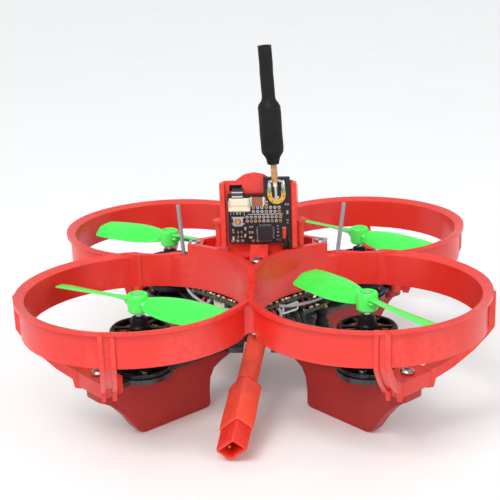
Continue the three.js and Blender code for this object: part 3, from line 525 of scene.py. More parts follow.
def plug():
    """The moulded grip and the two-pin shell, on the lead's end and in line with it."""
    end = Vector(LEAD_ROUTE[-1]) / MM
    upright = Matrix(((0, 0, 1, 0), (0, 1, 0, 0), (-1, 0, 0, 0), (0, 0, 0, 1)))
    aim = moved(*end, -97) @ moved(turn=22, axis="Y") @ moved(turn=45, axis="X") @ upright
    grip = Piece("plug_sleeve", aim)
    # (distance along the plug, width, height, corner radius)
    stations = [(0.3, 4.6, 5, 2.1), (0.7, 4.8, 5.6, 1.6), (1.4, 5.1, 6.8, 1.1), (1.9, 5.25, 7.05, 0.9),
                (6, 5.2, 7, 0.9), (10, 5.3, 7.1, 0.8), (13.7, 5.3, 7.1, 0.8), (14.3, 5.25, 7.05, 0.8),
                (14.5, 4.9, 6.7, 0.7)]
    grip.loft([ring_at(rounded(w, h, r), z) for z, w, h, r in stations], RED_SLEEVE)
    shell = Piece("plug_housing", aim)
    outside = [(14.8, 4.3, 6.1, 0.6), (14.9, 4.6, 6.4, 0.6), (20.2, 4.6, 6.4, 0.6), (20.5, 4.35, 6.15, 0.6)]
    mouth = [(20.5, 3.3, 5.1, 0.45), (20.2, 3.1, 4.9, 0.45), (16, 3, 4.8, 0.45)]
    shell.loft([ring_at(rounded(w, h, r), z) for z, w, h, r in outside + mouth], RED)
    for side in (-1, 1):
        shell.block((side * 2.32, 0, 18.3), (0.12, 2.2, 2.6), RED, 0.05)
        shell.block((0, side * 3.22, 17.5), (2.4, 0.1, 1.6), RED, 0.04)
    pieces = [grip.make("red_sleeve", "plug_grip"), shell.make("red_plastic", "plug_shell", bevel=0.08)]
    for name, side in (("upper", 1), ("lower", -1)):
        pin = Piece("plug_contact_" + name, aim)
        spot = moved(0, side * 1.25, 0)
        pin.turned([(0, 16.2), (0.5, 16.2), (0.5, 18.6), (0.42, 18.9), (0.2, 19.1), (0, 19.1)],
                   GOLD, spot, 14)
        pin.turned(band(0.5, 0.72, 16.2, 16.4), GOLD, spot, 14)
        pieces.append(pin.make("steel", "plug_pin_" + name))
    return pieces


lead = battery_lead()
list(plug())
lead_cores()


# ---- corners: motors, propellers, legs and their screws ----

# (side, end, spin, resting angle of the blades)
CORNERS = {"rear_left": (-1, -1, 1, -30), "rear_right": (1, -1, -1, -50),
           "front_left": (-1, 1, -1, -25), "front_right": (1, 1, 1, -43)}
# (radius, chord, pitch, thickness)
BLADE = [(1.4, 3.4, 34, 1.5), (4, 5, 31, 1.2), (7, 6.6, 27, 1), (11, 7.8, 24, 0.9), (15, 8.2, 21, 0.85),
         (19, 8.2, 19, 0.8), (22.2, 7.9, 17, 0.75), (23, 7.7, 16.6, 0.72), (23.5, 7.6, 16.2, 0.7),
         (23.8, 7.5, 16, 0.7)]
TIP_START, TIP_END = 22, 23.8
BLADE_HEIGHT = 32.3


def blade_rings(turn):
    """Sections of one blade along +X: a thin cambered foil whose tip is rounded off."""
    rings = []
    stations = spline([Vector((r, chord, pitch)) for r, chord, pitch, _ in BLADE], 5)
    thicks = spline([Vector((r, thick, 0)) for r, _, _, thick in BLADE], 5)
    for station, (_, thick, _) in zip(stations, thicks):
        radius, chord, pitch = station
        if radius > TIP_START:
            share = min(1, (radius - TIP_START) / (TIP_END - TIP_START))
            chord *= max(0.12, (1 - share ** 2.8) ** 0.4)
        a = radians(pitch)
        upper, lower = [], []
        for i in range(9):
            s = 0.5 - 0.5 * cos(pi * i / 8)
            camber = 0.5 * thick * sin(pi * s)
            half = 0.5 * thick * (0.16 + 0.62 * sin(pi * s ** 0.7))
            upper.append((0.5 - s, camber + half))
            lower.append((0.5 - s, camber - half))
        ring = []
        for s, lift in upper + lower[::-1]:
            along = s * chord
            ring.append((min(radius, TIP_END), turn * (along * cos(a) - lift * sin(a)),
                         BLADE_HEIGHT + along * sin(a) + lift * cos(a)))
        rings.append(ring)
    return rings


def propeller(name, place, turn, rest):
    """Two blades on a hub with a shaft bore and a top recess, and a swelling at each blade's root."""
    piece = Piece("blades_" + name, place @ moved(turn=rest))
    for half in (0, 180):
        piece.loft(blade_rings(turn), GREEN, moved(turn=half))
        piece.turned([(0, -0.9), (1.2, -0.8), (1.7, 0), (1.2, 0.8), (0, 0.9)], GREEN,
                     moved(z=32.25, turn=half) @ moved(1.9), 12)
    piece.turned([(0.9, 30.1), (2.2, 30.1), (2.5, 30.4), (2.5, 34), (2.3, 34.4), (2.1, 34.5), (1.75, 34.5),
                  (1.65, 34.35), (1.55, 33.9), (0.9, 33.9)], GREEN, None, 32)
    piece.make("green_plastic", "propeller_" + name, "rotor_" + name, 40)


def openings(outer, inner):
    """Six openings between two radii; each arc is (radius, start, sweep, number of points)."""
    made = []
    for i in range(6):
        made.append([polar(radius, TURN * i / 6 + start + sweep * k / (count - 1))
                     for radius, start, sweep, count in (outer, inner) for k in range(count)])
    return made


def motor_can(name, place):
    """The bell: a can with a spoked crown, a chamfered rim, twelve magnets and a bottom lip."""
    piece = Piece("motor_can_" + name, place)
    piece.turned([(6.35, 18.75), (6.5, 18.6), (6.95, 18.6), (7.1, 18.75), (7.1, 19.5), (7, 19.6), (7, 24.6),
                  (7.1, 24.7), (7.1, 25.9), (6.6, 26.4), (6.2, 26.4), (6, 26.1), (6, 25.4), (6.35, 25.2)],
                 ANODISED, None, 48)
    spokes = openings((5.9, 0.1, 0.847, 7), (2.6, 0.89, -0.733, 4))
    piece.plate(circle(6.3, 48), [circle(0.95, 16), *spokes], 25.7, 26.2, ANODISED)
    piece.turned([(0.95, 25.3), (2.5, 25.3), (2.5, 26.5), (2.2, 26.8), (2.05, 27.4), (1.9, 28.3),
                  (1.75, 28.7), (1.5, 28.85), (0.95, 28.85)], ANODISED, None, 32)
    for i in range(12):
        piece.block((6.12, 0, 22), (0.36, 2.7, 5.4), NICKEL, 0.08, moved(turn=30 * i))
    piece.make("black_metal", "motor_bell_" + name, "rotor_" + name, bevel=0.04)


def motor_axle(name, place):
    """The shaft, with a chamfered top and a press-fit knurl below the hub."""
    piece = Piece("motor_axle_" + name, place)
    piece.turned([(0, 16.1), (0.6, 16.1), (0.75, 16.3), (0.75, 34.1), (0.55, 34.25), (0, 34.25)], STEEL)
    for i in range(12):
        piece.block((0.76, 0, 29), (0.1, 0.12, 1.6), STEEL, 0.03, moved(turn=30 * i))
    piece.make("steel", "motor_shaft_" + name, "rotor_" + name)


def motor_windings(name, place):
    """Nine laminated teeth, each with its own wound coil of five turns."""
    piece = Piece("motor_windings_" + name, place)
    middle, turns = 22.1, 5
    piece.turned(band(2.1, 3.2, 18.9, 23.5), LAMINATION)
    for i in range(9):
        turn = moved(turn=40 * i)
        piece.block((4.1, 0, 21.2), (2.4, 0.8, 4), LAMINATION, 0.05, turn)
        for k in range(5):
            piece.block((5.25, 0, 19.45 + 0.88 * k), (0.75, 2.9, 0.78), LAMINATION, 0.06, turn)
        for k in range(turns):
            loop = [(3.45 + 0.34 * k, y, middle + z)
                    for y, z in rounded(1.5 + 0.12 * (k % 2), 6 + 0.2 * (k % 2), 0.5, 2)]
            piece.tube([*loop, loop[0]], 0.19, COPPER, 6, turn)
    piece.make("copper", "motor_stator_" + name)


def motor_foot(name, place, corner_turn):
    """The base: a windowed mounting disc, its bearing tube, three screws and the three leads."""
    piece = Piece("motor_foot_" + name, place @ Matrix.Rotation(corner_turn, 4, "Z"))
    slots = openings((5.9, TURN / 12 + 0.2, 0.647, 5), (4.1, TURN / 12 + 0.847, -0.647, 4))
    piece.plate(circle(6.9, 40), [circle(0.85, 16), *slots], 15.9, 16.8, ANODISED)
    piece.turned([(0.82, 16.7), (3.6, 16.7), (3, 17.6), (1.9, 17.7), (1.9, 24.2), (1.6, 24.5), (0.82, 24.5)],
                 ANODISED, None, 28)
    for i in range(3):
        piece.turned([(0, 16.5), (0.95, 16.5), (0.95, 17.1), (0.7, 17.35), (0, 17.35)], STEEL,
                     moved(turn=120 * i + 60) @ moved(5), 14)
    for lane in (-1, 0, 1):
        line = [(-4.6, lane * 1.25, 17.5), (-6.4, lane * 1.3, 17.1), (-8.2, lane * 1.2, 16.5),
                (-12, lane * 1.15, 16.3), (-16, lane * 1.2 + 0.3 * sin(lane), 16.4),
                (-19.5, lane * 1.3, 17.4), (-22.3, lane * 1.7, 19.8), (-24, lane * 2.1, 22.1),
                (-25.4, lane * 2.3, 22.75), (-26.4, lane * 2.3, 22.55)]
        piece.tube(spline(line, 5), 0.48, WIRE_BLACK)
        piece.turned([(0, 22.2), (1, 22.25), (0.9, 22.6), (0.5, 22.95), (0, 23)], SOLDER,
                     moved(-26.6, lane * 2.3), 12)
    piece.make("black_metal", "motor_base_" + name, bevel=0.03)


def screw_head(piece, top, tip, place, height=0.75, radius=1.6):
    """A pan-head screw with a cross recess, its threads, and its washer face."""
    arm, half = radius * 0.58, radius * 0.15
    cross = [p for k in range(4) for p in swung(((half, -half), (arm, -half), (arm, half)), pi / 2 * k)]
    low = top - height
    rim = radius * 0.8
    piece.plate(circle(rim, 24), [cross], top - 0.3, top, STEEL, place)
    piece.turned([(rim * 0.7, low + 0.05), (radius * 0.9, low), (radius, low + 0.1), (radius, top - 0.35),
                  (rim + 0.08, top - 0.06), (rim, top), (rim * 0.97, top - 0.05), (rim * 0.97, top - 0.3)],
                 STEEL, place, 28)
    piece.turned(band(0, rim * 0.98, low, top - 0.32), STEEL, place)
    threads, pitch = [(0, tip)], 0.25
    for k in range(int((low - tip) / pitch)):
        threads.append((0.6 if k % 2 else 0.5, tip + 0.05 + pitch * k))
    piece.turned([*threads, (0.6, low + 0.05), (0, low + 0.05)], STEEL, place, 10)


def screw(name, node):
    """A screw in the place and size of its CAD node, head up unless the node hangs below the boards."""
    low, high = box(node)
    x, y = (low.x + high.x) / 2, (low.y + high.y) / 2
    piece = Piece(name)
    if node in ("stack_screw_rear", "stack_screw_front"):
        screw_head(piece, -low.z, -high.z, moved(x, y, turn=180, axis="X"))
    else:
        screw_head(piece, high.z, low.z, moved(x, y, turn=dice.uniform(0, 90)))
    piece.make("steel", node, sharp=30)


for corner, (sx, sy, spin, rest) in CORNERS.items():
    centre = middle_of("motor_shaft_" + corner)
    spot = moved(centre.x, centre.y)
    motor_can(corner, spot)
    motor_axle(corner, spot)
    motor_windings(corner, spot @ Matrix.Rotation(0.2, 4, "Z"))
    motor_foot(corner, spot, atan2(sy, sx))
    propeller(corner, spot, spin, rest)
    screw("foot_fixing_" + corner, "foot_screw_" + corner)
    # the legs take the darker red, with its painted shade
    moulding("leg_fin_" + corner, "leg_" + corner, LEG_RED_PAINTED_SHADE, 0.3)
for side in ("left", "right", "rear", "front"):
    screw("stack_fixing_" + side, "stack_screw_" + side)
for side in ("rear", "front"):
    screw("tab_fixing_" + side, "tab_screw_" + side)
moulding("duct_moulding", "duct_frame", RED, 0.16)
moulding("carbon_cross", "cross_plate", CARBON, 0.1)


# ---- electronics stack ----

def chip(piece, x, y, z, size, height, place=None, pins=6, turn=0):
    """A square chip with a row of legs on each side, seen from +Z of its place."""
    at = (place or Matrix()) @ moved(x, y, z, turn)
    piece.block((0, 0, height / 2 + 0.05), (size, size, height), CHIP, 0.1, at)
    piece.turned(band(0, 0.22, 0, 0.02), MASK, at @ moved(-size * 0.36, size * 0.36, height + 0.04), 12)
    for side in range(4):
        edge = at @ moved(turn=90 * side)
        for i in range(pins):
            along = size * 0.8 * ((i + 0.5) / pins - 0.5)
            piece.block((size / 2 + 0.12, along, 0.12), (0.36, size * 0.42 / pins, 0.16), SOLDER, 0.03, edge)


def passive(piece, x, y, z, length, material, place=None, turn=0):
    """A small resistor or capacitor: a body between two soldered ends."""
    at = (place or Matrix()) @ moved(x, y, z, turn)
    wide, high = length * 0.52, length * 0.42
    piece.block((0, 0, high / 2), (length * 0.56, wide, high), material, 0.04, at)
    end = (length * 0.24, wide * 1.04, high * 1.05)
    for way in (-1, 1):
        piece.block((way * length * 0.38, 0, high / 2), end, SOLDER, 0.05, at)


def pad(piece, x, y, z, wide, long, place=None, solder=True):
    """A gold pad, with a bead of solder on it."""
    at = (place or Matrix()) @ moved(x, y, z)
    piece.block((0, 0, 0.02), (wide, long, 0.08), GOLD, 0.02, at)
    if solder:
        bead = [(0, 0.05), (0.42, 0.05), (0.36, 0.2), (0.2, 0.34), (0, 0.38)]
        piece.turned([(r * wide, h) for r, h in bead], SOLDER, at, 12)


def connector(piece, x, y, z, pins, place=None, turn=0):
    """A side-entry wire connector with its contacts showing in its mouth."""
    at = (place or Matrix()) @ moved(x, y, z, turn)
    wide = pins + 1.6
    walls = [((0, 0, 0.15), (wide, 3, 0.3)), ((0, 0, 1.55), (wide, 3, 0.3)),
             ((0, -1.25, 0.85), (wide, 0.5, 1.5))]
    walls += [((way * (wide / 2 - 0.2), 0, 0.85), (0.4, 3, 1.6)) for way in (-1, 1)]
    for centre, size in walls:
        piece.block(centre, size, CREAM, 0.06, at)
    for i in range(pins):
        x = i - (pins - 1) / 2
        piece.block((x, -0.2, 0.7), (0.3, 1.9, 0.3), GOLD, 0.04, at)
        piece.block((x, -1.75, 0.12), (0.35, 0.7, 0.16), SOLDER, 0.03, at)


# where the stack's screws pass through the boards
STACK = [(16, 0), (-16, 0), (0, 16), (0, -16)]
# each edge of the boards in turn, with +X pointing out over it
EDGES = [moved(turn=45 + 90 * edge) for edge in range(4)]


def board_base(piece, half_diagonal, bottom):
    """A square board stood on its corner, with its four plated fixing holes."""
    size = half_diagonal * sqrt(2)
    holes = [[(x + u, y + v) for u, v in circle(0.9, 20)] for x, y in STACK]
    piece.plate(swung(rounded(size, size, 2.4, 5), pi / 4), holes, bottom, bottom + BOARD, GREEN_MASK)
    for x, y in STACK:
        for z in (bottom - 0.03, bottom + 0.97):
            piece.turned(band(0.88, 1.5, z, z + 0.06), GOLD, moved(x, y))


def small_parts(piece, count, reach, z, taken, place=None, side=1):
    """Small parts scattered over a diamond-shaped board, clear of those already there."""
    made = 0
    while made < count:
        x, y = dice.uniform(-reach, reach), dice.uniform(-reach, reach)
        if abs(x) + abs(y) > reach or any(abs(x - a) < w and abs(y - b) < h for a, b, w, h in taken):
            continue
        taken.append((x, y, 0.85, 0.85))
        passive(piece, x, y, z, dice.choice((0.9, 1, 1.3)), dice.choice((TANTALUM, CHIP, CERAMIC, CERAMIC)),
                place, dice.choice((0, 45, 90, 135)) * side)
        made += 1


def flight_controller():
    piece = Piece("flight_board")
    board_base(piece, 18.2, FLIGHT_BOTTOM)
    top = FLIGHT_TOP
    chip(piece, 1.5, 1, top, 6.4, 0.9, None, 12, 45)
    chip(piece, -4.2, 4.6, top, 2.8, 0.8, None, 4, 45)
    chip(piece, 5.6, -4.6, top, 3.4, 0.8, None, 5, 45)
    connector(piece, 8, 4.1, top, 4, None, -45)
    connector(piece, -6.1, 6.1, top, 3, None, 45)
    case = moved(-9)
    piece.plate(rounded(2.6, 2.6, 0.3), [circle(0.85, 20)], top, 28, STEEL, case)
    for way in (-1, 1):
        for y in (0.7, -0.7):
            piece.block((way * 1.5, y, top + 0.1), (0.6, 0.5, 0.16), SOLDER, 0.03, case)
    # The socket hangs under the board, its mouth level with the board's edge.
    usb = moved(turn=-45) @ moved(10.2, -1, FLIGHT_BOTTOM, 90) @ moved(turn=180, axis="Y")
    piece.loft([[(x, y, z + 1.35) for x, z in rounded(5.4, 2.3, 0.5)] for y in (-2.6, 2.2)], STEEL, usb)
    piece.block((0, -2.62, 1.35), (4.3, 0.1, 1.3), CHIP, 0.03, usb)
    for edge, side in enumerate(EDGES):
        for i in range(7):
            pad(piece, 11.9, -4.8 + 1.6 * i, top, 1.1, 1, side, (i + edge) % 3 > 0)
    larger = [(-1.6, -13.2, 1.9), (1.5, -13.4, 1.6), (0.2, -11, 1.8), (-3.4, -10.4, 1.7), (3.1, -10.2, 1.8),
              (13, 1.2, 1.6), (-13, -1.4, 1.7)]
    for x, y, size in larger:
        passive(piece, x, y, top, size, dice.choice((TANTALUM, CERAMIC)), None, dice.choice((0, 45, 90)))
    # (x, y, half width, half height) of what is already on the board
    taken = [(1.5, 1, 5.4, 5.4), (-4.2, 4.6, 2.6, 2.6), (5.6, -4.6, 3, 3), (8, 4.1, 4, 4),
             (-6.1, 6.1, 3.6, 3.6), (-9, 0, 2.6, 2), (0, -12, 4.6, 2.8), (13, 1.2, 2, 1), (-13, -1.4, 2, 1)]
    small_parts(piece, 46, 14.2, top, taken)
    under = moved(z=FLIGHT_BOTTOM, turn=180, axis="X")
    chip(piece, 3, 2, 0, 4.2, 0.8, under, 6, 45)
    small_parts(piece, 26, 13, 0, [(3, 2, 3.6, 3.6), (-9, 0, 1, 1), (6.5, 7.9, 3.8, 3.8)], under, -1)
    for x, material, lift in ((-8.6, WIRE_RED, 0), (-7.4, WIRE_BLACK, 0.3), (-6.2, WIRE_RED, 0.1)):
        piece.tube(spline([(x + 2.4, -5.8, top + 0.2), (x + 2, -6.4, 28.4 + lift), (x + 2.3, -6, 30.6),
                           (x + 2.9, -5.2, 32.4), (x + 3.6, -4.4, 34.4)]), 0.42, material)
    piece.make("circuit_board", "flight_controller")


def speed_controller():
    piece = Piece("speed_board")
    board_base(piece, 17.6, SPEED_BOTTOM)
    top = SPEED_TOP
    for side in EDGES:
        for i in range(3):
            chip(piece, 7.6, -3.9 + 3.9 * i, top, 2.7, 0.7, side, 4)
        for i in range(3):
            pad(piece, 10.9, -2.3 + 2.3 * i, top, 1.5, 1.5, side, False)
        chip(piece, 3.2, -2.2, top, 2.2, 0.6, side, 5)
    taken = [(0, 0, 0.5, 0.5)] + [(x, y, 4.6, 4.6) for y, x in product((5.4, -5.4), (5.4, -5.4))]
    small_parts(piece, 34, 12.4, top, taken)
    under = moved(z=SPEED_BOTTOM, turn=180, axis="X")
    small_parts(piece, 22, 12, 0, [(0, 0, 4.5, 9), (0, -5, 4.5, 9)], under, -1)
    piece.make("circuit_board", "speed_controller")


def edge_wiring():
    """Along each edge of the stack: wires looped between the boards, a connector and bright small parts."""
    piece = Piece("stack_wiring")
    for edge, side in enumerate(EDGES):
        for i, material in enumerate((WIRE_RED, WIRE_BLACK, WIRE_GREY, WIRE_BLACK, WIRE_RED, WIRE_BLACK)):
            y = -7.2 + 0.95 * i + (6.6 if i > 2 else 0)
            out = 1.6 + 0.5 * sin(2.1 * i + edge)
            line = [(10.4, y, 22.35), (11.6, y + 0.1, 22.6), (11.6 + out, y + 0.3, 23.6),
                    (11.4 + out * 0.7, y + 0.5, 25), (10.6, y + 0.4, 25.6)]
            piece.tube(spline(line), 0.4, material, 8, side)
            piece.turned([(0, 22.2), (0.75, 22.22), (0.6, 22.6), (0.3, 22.8), (0, 22.82)], SOLDER,
                         side @ moved(10.4, y), 12)
        for i in range(9):
            y = -8.8 + 2.2 * i
            passive(piece, 12, y, SPEED_TOP, 1.15, (CERAMIC, GOLD, CREAM)[i % 3], side, 90)
        if edge < 3:
            under = side @ moved(11.3, -0.6, FLIGHT_BOTTOM, 180, "X")
            connector(piece, 0, 0, 0, 3, under, 90)
        for i in range(10):
            y = -9.2 + 2 * i
            material = (GOLD, CERAMIC, CREAM, SOLDER)[(i + edge) % 4]
            passive(piece, 12.3, y, FLIGHT_TOP - 0.02, 0.9, material, side, 90)
    piece.make("circuit_board")


def spacer(name, node):
    """A soft damper: two flared ends round a waist, with a sleeve through it."""
    low, high = box(node)
    x, y = (low.x + high.x) / 2, (low.y + high.y) / 2
    foot, head = low.z, high.z
    tall = head - foot
    piece = Piece(name, moved(x, y))
    piece.turned([(0.9, foot), (1.6, foot), (1.7, foot + 0.1), (1.7, foot + tall * 0.28),
                  (1.35, foot + tall * 0.36), (1.35, head - tall * 0.36), (1.7, head - tall * 0.28),
                  (1.7, head - 0.1), (1.6, head), (0.9, head)], RUBBER)
    piece.turned(band(0.72, 0.88, foot + 0.05, head - 0.05), STEEL, None, 20)
    piece.make("black_metal", node)


flight_controller()
speed_controller()
edge_wiring()
for side in ("left", "right", "rear", "front"):
    spacer("upper_damper_" + side, "upper_spacer_" + side)
for side in ("left", "right"):
    spacer("lower_damper_" + side, "lower_spacer_" + side)

key = Piece("boot_plunger", moved(middle_of("boot_button").x, middle_of("boot_button").y))
low, high = (v.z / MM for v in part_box("boot_button"))
key.turned([(0, low), (0.66, low), (0.7, low + 0.06), (0.7, high - 0.16), (0.6, high - 0.02), (0.45, high),
            (0.3, high - 0.05), (0, high - 0.07)], CREAM)
key.turned([(0.7, low + 0.2), (0.74, low + 0.22), (0.74, low + 0.34), (0.7, low + 0.36)], CREAM)
key.make("steel", "boot_button", "boot_button")


# ---- camera housing, camera and transmitter ----

def camera_body():
    """The camera's case, its threaded lens barrel and its four screws."""
    low, high = box("camera_body")
    face = high.y - 3
    piece = Piece("camera_case")
    x, z = (low.x + high.x) / 2, (low.z + high.z) / 2
    wide, tall = high.x - low.x, high.z - low.z
    rings = []
    for y, less in ((low.y, 0.8), (low.y + 0.3, 0.1), (low.y + 3, 0), (5.6, 0), (6, 0.45)):
        rings.append([(x + u, y, z + v) for u, v in rounded(wide - less, tall - less, 0.8)])
    piece.loft(rings, BLACK_PLASTIC)
    aim = moved(x, 0, z, -90, "X")
    profile = [(3, 5.7), (4, 5.7)]
    y, pitch = 6.3, 0.62
    while y < face + 1.4:
        profile += [(3.75, y), (3.95, y + 0.2), (3.95, y + 0.3), (3.75, y + 0.5)]
        y += pitch
    profile += [(4, face + 2.2), (4, high.y - 0.15), (3.85, high.y), (3.25, high.y), (3, high.y - 0.4)]
    piece.turned(profile, BLACK_PLASTIC, aim, 48)
    for z, x in product((-3.3, 3.3), (-5.2, 5.2)):
        piece.turned([(0, 5.9), (0.5, 5.9), (0.5, 6.1), (0.35, 6.2), (0, 6.2)], STEEL, aim @ moved(x, z), 12)
    piece.make("black_metal", "camera_body", bevel=0.05)


def camera_lens():
    """The front glass in its retaining ring, with the dark inner stop behind it."""
    low, high = box("camera_lens")
    piece = Piece("lens_glass", moved((low.x + high.x) / 2, 0, (low.z + high.z) / 2, -90, "X"))
    dome = [(2.5 * sin(a), low.y + 1.35 + 1.1 * cos(a)) for a in [pi / 2 * (1 - k / 8) for k in range(8)]]
    piece.turned([(0, low.y), (2.5, low.y), *dome, (0, high.y - 0.05)], GLASS, None, 40)
    piece.turned([(2.4, low.y + 0.6), (2.7, low.y + 0.6), (2.7, low.y + 1.6), (2.55, low.y + 1.7),
                  (2.4, low.y + 1.5)], BLACK_PLASTIC, None, 40)
    piece.make("lens_glass", "camera_lens")


def transmitter():
    """The upright board behind the camera: parts, vias, aerial pad and the channel button's case."""
    low, high = box("video_transmitter")
    rear = -6.8
    left, right, bottom, top = low.x, high.x, low.z, high.z
    notch, shoulder = 2.3, 52.7
    button = middle_of("channel_button")
    # (x, height) on the board's rear face, with +Z of this place pointing to the tail
    face = Matrix(((1, 0, 0, 0), (0, 0, -1, rear), (0, 1, 0, 0), (0, 0, 0, 1)))
    piece = Piece("transmitter_board", face)
    outline = [(left + 0.2, bottom), (right - 0.2, bottom), (right, bottom + 0.2), (right, top - 0.2),
               (right - 0.2, top), (notch, top), (notch, shoulder), (left + 0.2, shoulder),
               (left, shoulder - 0.2), (left, bottom + 0.2)]
    vias = [(-0.3 + 1.05 * i, z) for i in range(7) for z in (49.45, 48.45)]
    vias += [(-1.9 + 1.02 * i, z) for i in range(9) for z in (47.05, 46.05)]
    holes = [[(x + u, z + v) for u, v in circle(0.2, 8)] for x, z in vias]
    piece.plate(outline, holes, -1, 0, MASK)
    for x, z in vias:
        piece.turned(band(0.2, 0.38, -0.02, 0.06), dice.choice((GOLD, SOLDER, SOLDER)), moved(x, z), 14)
    piece.block((2.6, 47.75, 0.02), (8.6, 0.14, 0.06), WHITE_INK, 0.02)
    piece.block((-2.6, 48.6, 0.02), (0.14, 2.2, 0.06), WHITE_INK, 0.02)
    # a brown capacitor between two light ends
    piece.block((0.75, 51.1, 0.62), (2.7, 2.1, 1.2), TANTALUM, 0.1)
    for way in (-1, 1):
        piece.block((0.75 + way * 1.48, 51.1, 0.6), (0.32, 2.15, 1.2), CREAM, 0.08)
        piece.block((0.75 + way * 1.75, 51.1, 0.12), (0.4, 1.9, 0.24), SOLDER, 0.06)
    # the U-shaped aerial pad, gold below and tinned above
    across, foot, head = 5.45, 52.6, 54.4
    outer = [(across + 2.2 * cos(a), foot + 2.3 * sin(a)) for a in [pi * (1 + k / 16) for k in range(17)]]
    inner = [(across + 1.15 * cos(a), foot + 1.2 * sin(a)) for a in [pi * (2 - k / 12) for k in range(13)]]
    piece.plate([*outer, (7.65, head), (6.6, head), *inner, (4.3, head), (3.25, head)], [], 0, 0.1, GOLD)
    for x in (3.8, 7.1):
        piece.tube(spline([(x, 53, 0.1), (x + 0.05, 54, 0.25), (x, 55.2, 0.3), (x, 56.2, 0.12)]),
                   [0.3 + 0.28 * sin(pi * k / 18) for k in range(19)], SOLDER)
    piece.tube(spline([(4, 55.9, 0.25), (5.4, 56.25, 0.35), (6.9, 55.9, 0.25)]), 0.36, SOLDER)
    core = [(across, 55.4, 0.75), (across, 54.2, 0.7), (across, 52.9, 0.45), (across, 51.9, 0.2)]
    piece.tube(spline(core), 0.3, SOLDER)
    piece.turned([(0, 0), (0.7, 0.02), (0.6, 0.3), (0.3, 0.5), (0, 0.52)], SOLDER, moved(across, 51.9), 14)
    for x, z in ((3.7, 52.2), (7.2, 52.2), (4.4, 51), (6.5, 51), (3.6, 53.4), (7.3, 53.4)):
        piece.turned(band(0, 0.16, 0.08, 0.13), CHIP, moved(x, z), 10)
    chip(piece, 2.5, 43, 0, 3.7, 0.8, None, 8)
    piece.block((7.15, 43, 0.45), (0.9, 3, 0.8), LED_RED, 0.3)
    for z in (41.7, 44.3):
        piece.block((7.15, z, 0.2), (1, 0.4, 0.4), SOLDER, 0.08)
    # the channel button's case
    case = moved(button.x, button.z)
    piece.plate(rounded(2.4, 2.4, 0.25), [circle(0.72, 20)], 0, 1, STEEL, case)
    for x, y in product((-1.35, 1.35), (-0.8, 0.8)):
        piece.block((x, y, 0.12), (0.5, 0.45, 0.2), SOLDER, 0.05, case)
    spots = [(-1, 44.6, 0), (-1, 43.2, 0), (-1.1, 41.9, 0), (-2.4, 44.2, 90), (-2.5, 42.4, 90),
             (-3.8, 43.3, 0), (-3.8, 42.1, 0), (-5.4, 43.6, 90), (-5.4, 41.7, 90), (-5.5, 48, 0),
             (-3.9, 48.1, 0), (5.6, 44.4, 90), (5.6, 42.8, 90), (5.7, 41.3, 0), (8, 45.9, 90), (8, 48.2, 90),
             (3, 50.6, 90), (7.9, 50.2, 0)]
    for x, z, turn in spots:
        passive(piece, x, z, 0, dice.choice((0.9, 1.1)), dice.choice((TANTALUM, CHIP, CERAMIC)), None, turn)
    for x in (-5.6, -4.4, -3.2, -0.6, 0.6):
        pad(piece, x, bottom + 0.7, 0, 0.8, 0.7)
    # from here on in the object's own frame: power wires from the board's foot down into the star
    piece.place = Matrix()
    for x in (8.1, 7.2):
        piece.tube(spline([(x, -7.15, 42), (x + 0.2, -7.35, 41.2), (x + 0.35, -7.3, 40.2),
                           (x + 0.1, -6.9, 39.2), (x - 0.3, -6.6, 38.2)]), 0.42, WIRE_BLACK)
    # camera ribbon, from the connector up into the slot in the housing
    ribbon = [(-7.45, 51.2), (-7.5, 52.2), (-7.35, 53), (-6.7, 53.7), (-5.9, 54), (-5, 54.1)]
    section = ((-5.4, -0.12), (-2.75, -0.12), (-2.75, 0.06), (-5.4, 0.06))
    rings = [[(x, y + dy, z + 0.02) for x, dy in section]
             for y, z, _ in spline([(y, z, 0) for y, z in ribbon], 4)]
    piece.loft(rings, RIBBON)
    piece.block((-4.6, -4.1, 54), (3.6, 0.6, 1.7), RUBBER, 0.1)
    for y, z in ((-7.62, 52.4), (-7.2, 53.35)):
        piece.block((-4.07, y, z), (2.7, 0.1, 0.28), WHITE_INK, 0.03)
    piece.make("circuit_board", "video_transmitter")


def ribbon_connector():
    """The camera ribbon's connector: a body, a hinged latch and its contacts."""
    low, high = box("camera_connector")
    wide, deep, tall = high - low
    middle = (low + high) / 2
    piece = Piece("ribbon_connector")
    x, y = middle.x, middle.y
    piece.block((x, y + 0.1, low.z + tall * 0.36), (wide, deep - 0.2, tall * 0.72), CREAM, 0.12)
    piece.block((x, low.y + 0.28, high.z - tall * 0.3), (wide - 0.9, 0.5, tall * 0.5), CREAM, 0.12)
    piece.block((x, y + 0.3, high.z - tall * 0.16), (wide - 0.3, deep - 0.7, tall * 0.3), CREAM, 0.1)
    for way in (-1, 1):
        end = x + way * (wide / 2 - 0.25)
        piece.block((end, y, low.z + tall * 0.6), (0.5, deep, tall * 0.5), SOLDER, 0.1)
    for i in range(8):
        contact = low.x + 0.8 + i * (wide - 1.6) / 7
        piece.block((contact, low.y + 0.25, low.z + 0.05), (0.22, 0.5, 0.35), SOLDER, 0.04)
    piece.make("cream_plastic", "camera_connector", bevel=0.04)


def channel_key():
    low, high = box("channel_button")
    piece = Piece("channel_plunger", moved((low.x + high.x) / 2, 0, (low.z + high.z) / 2, 90, "X"))
    near, far = -low.y, -high.y
    piece.turned([(0, far), (0.55, far), (0.55, near - 0.14), (0.48, near - 0.02), (0.36, near),
                  (0.26, near - 0.05), (0, near - 0.07)], GOLD)
    piece.turned([(0.5, far + 0.1), (0.58, far + 0.12), (0.58, far + 0.22), (0.5, far + 0.24)], GOLD)
    piece.make("steel", "channel_button", "channel_button")


moulding("camera_cage", "camera_housing", RED, 0.14)
camera_body()
camera_lens()
transmitter()
ribbon_connector()
channel_key()


# ---- aerial and receiver tubes ----

AERIAL_FOOT = Vector((5.4, -7.9, 51.5))
AERIAL_LEAN = -2.8
AERIAL_TOP = 88.6


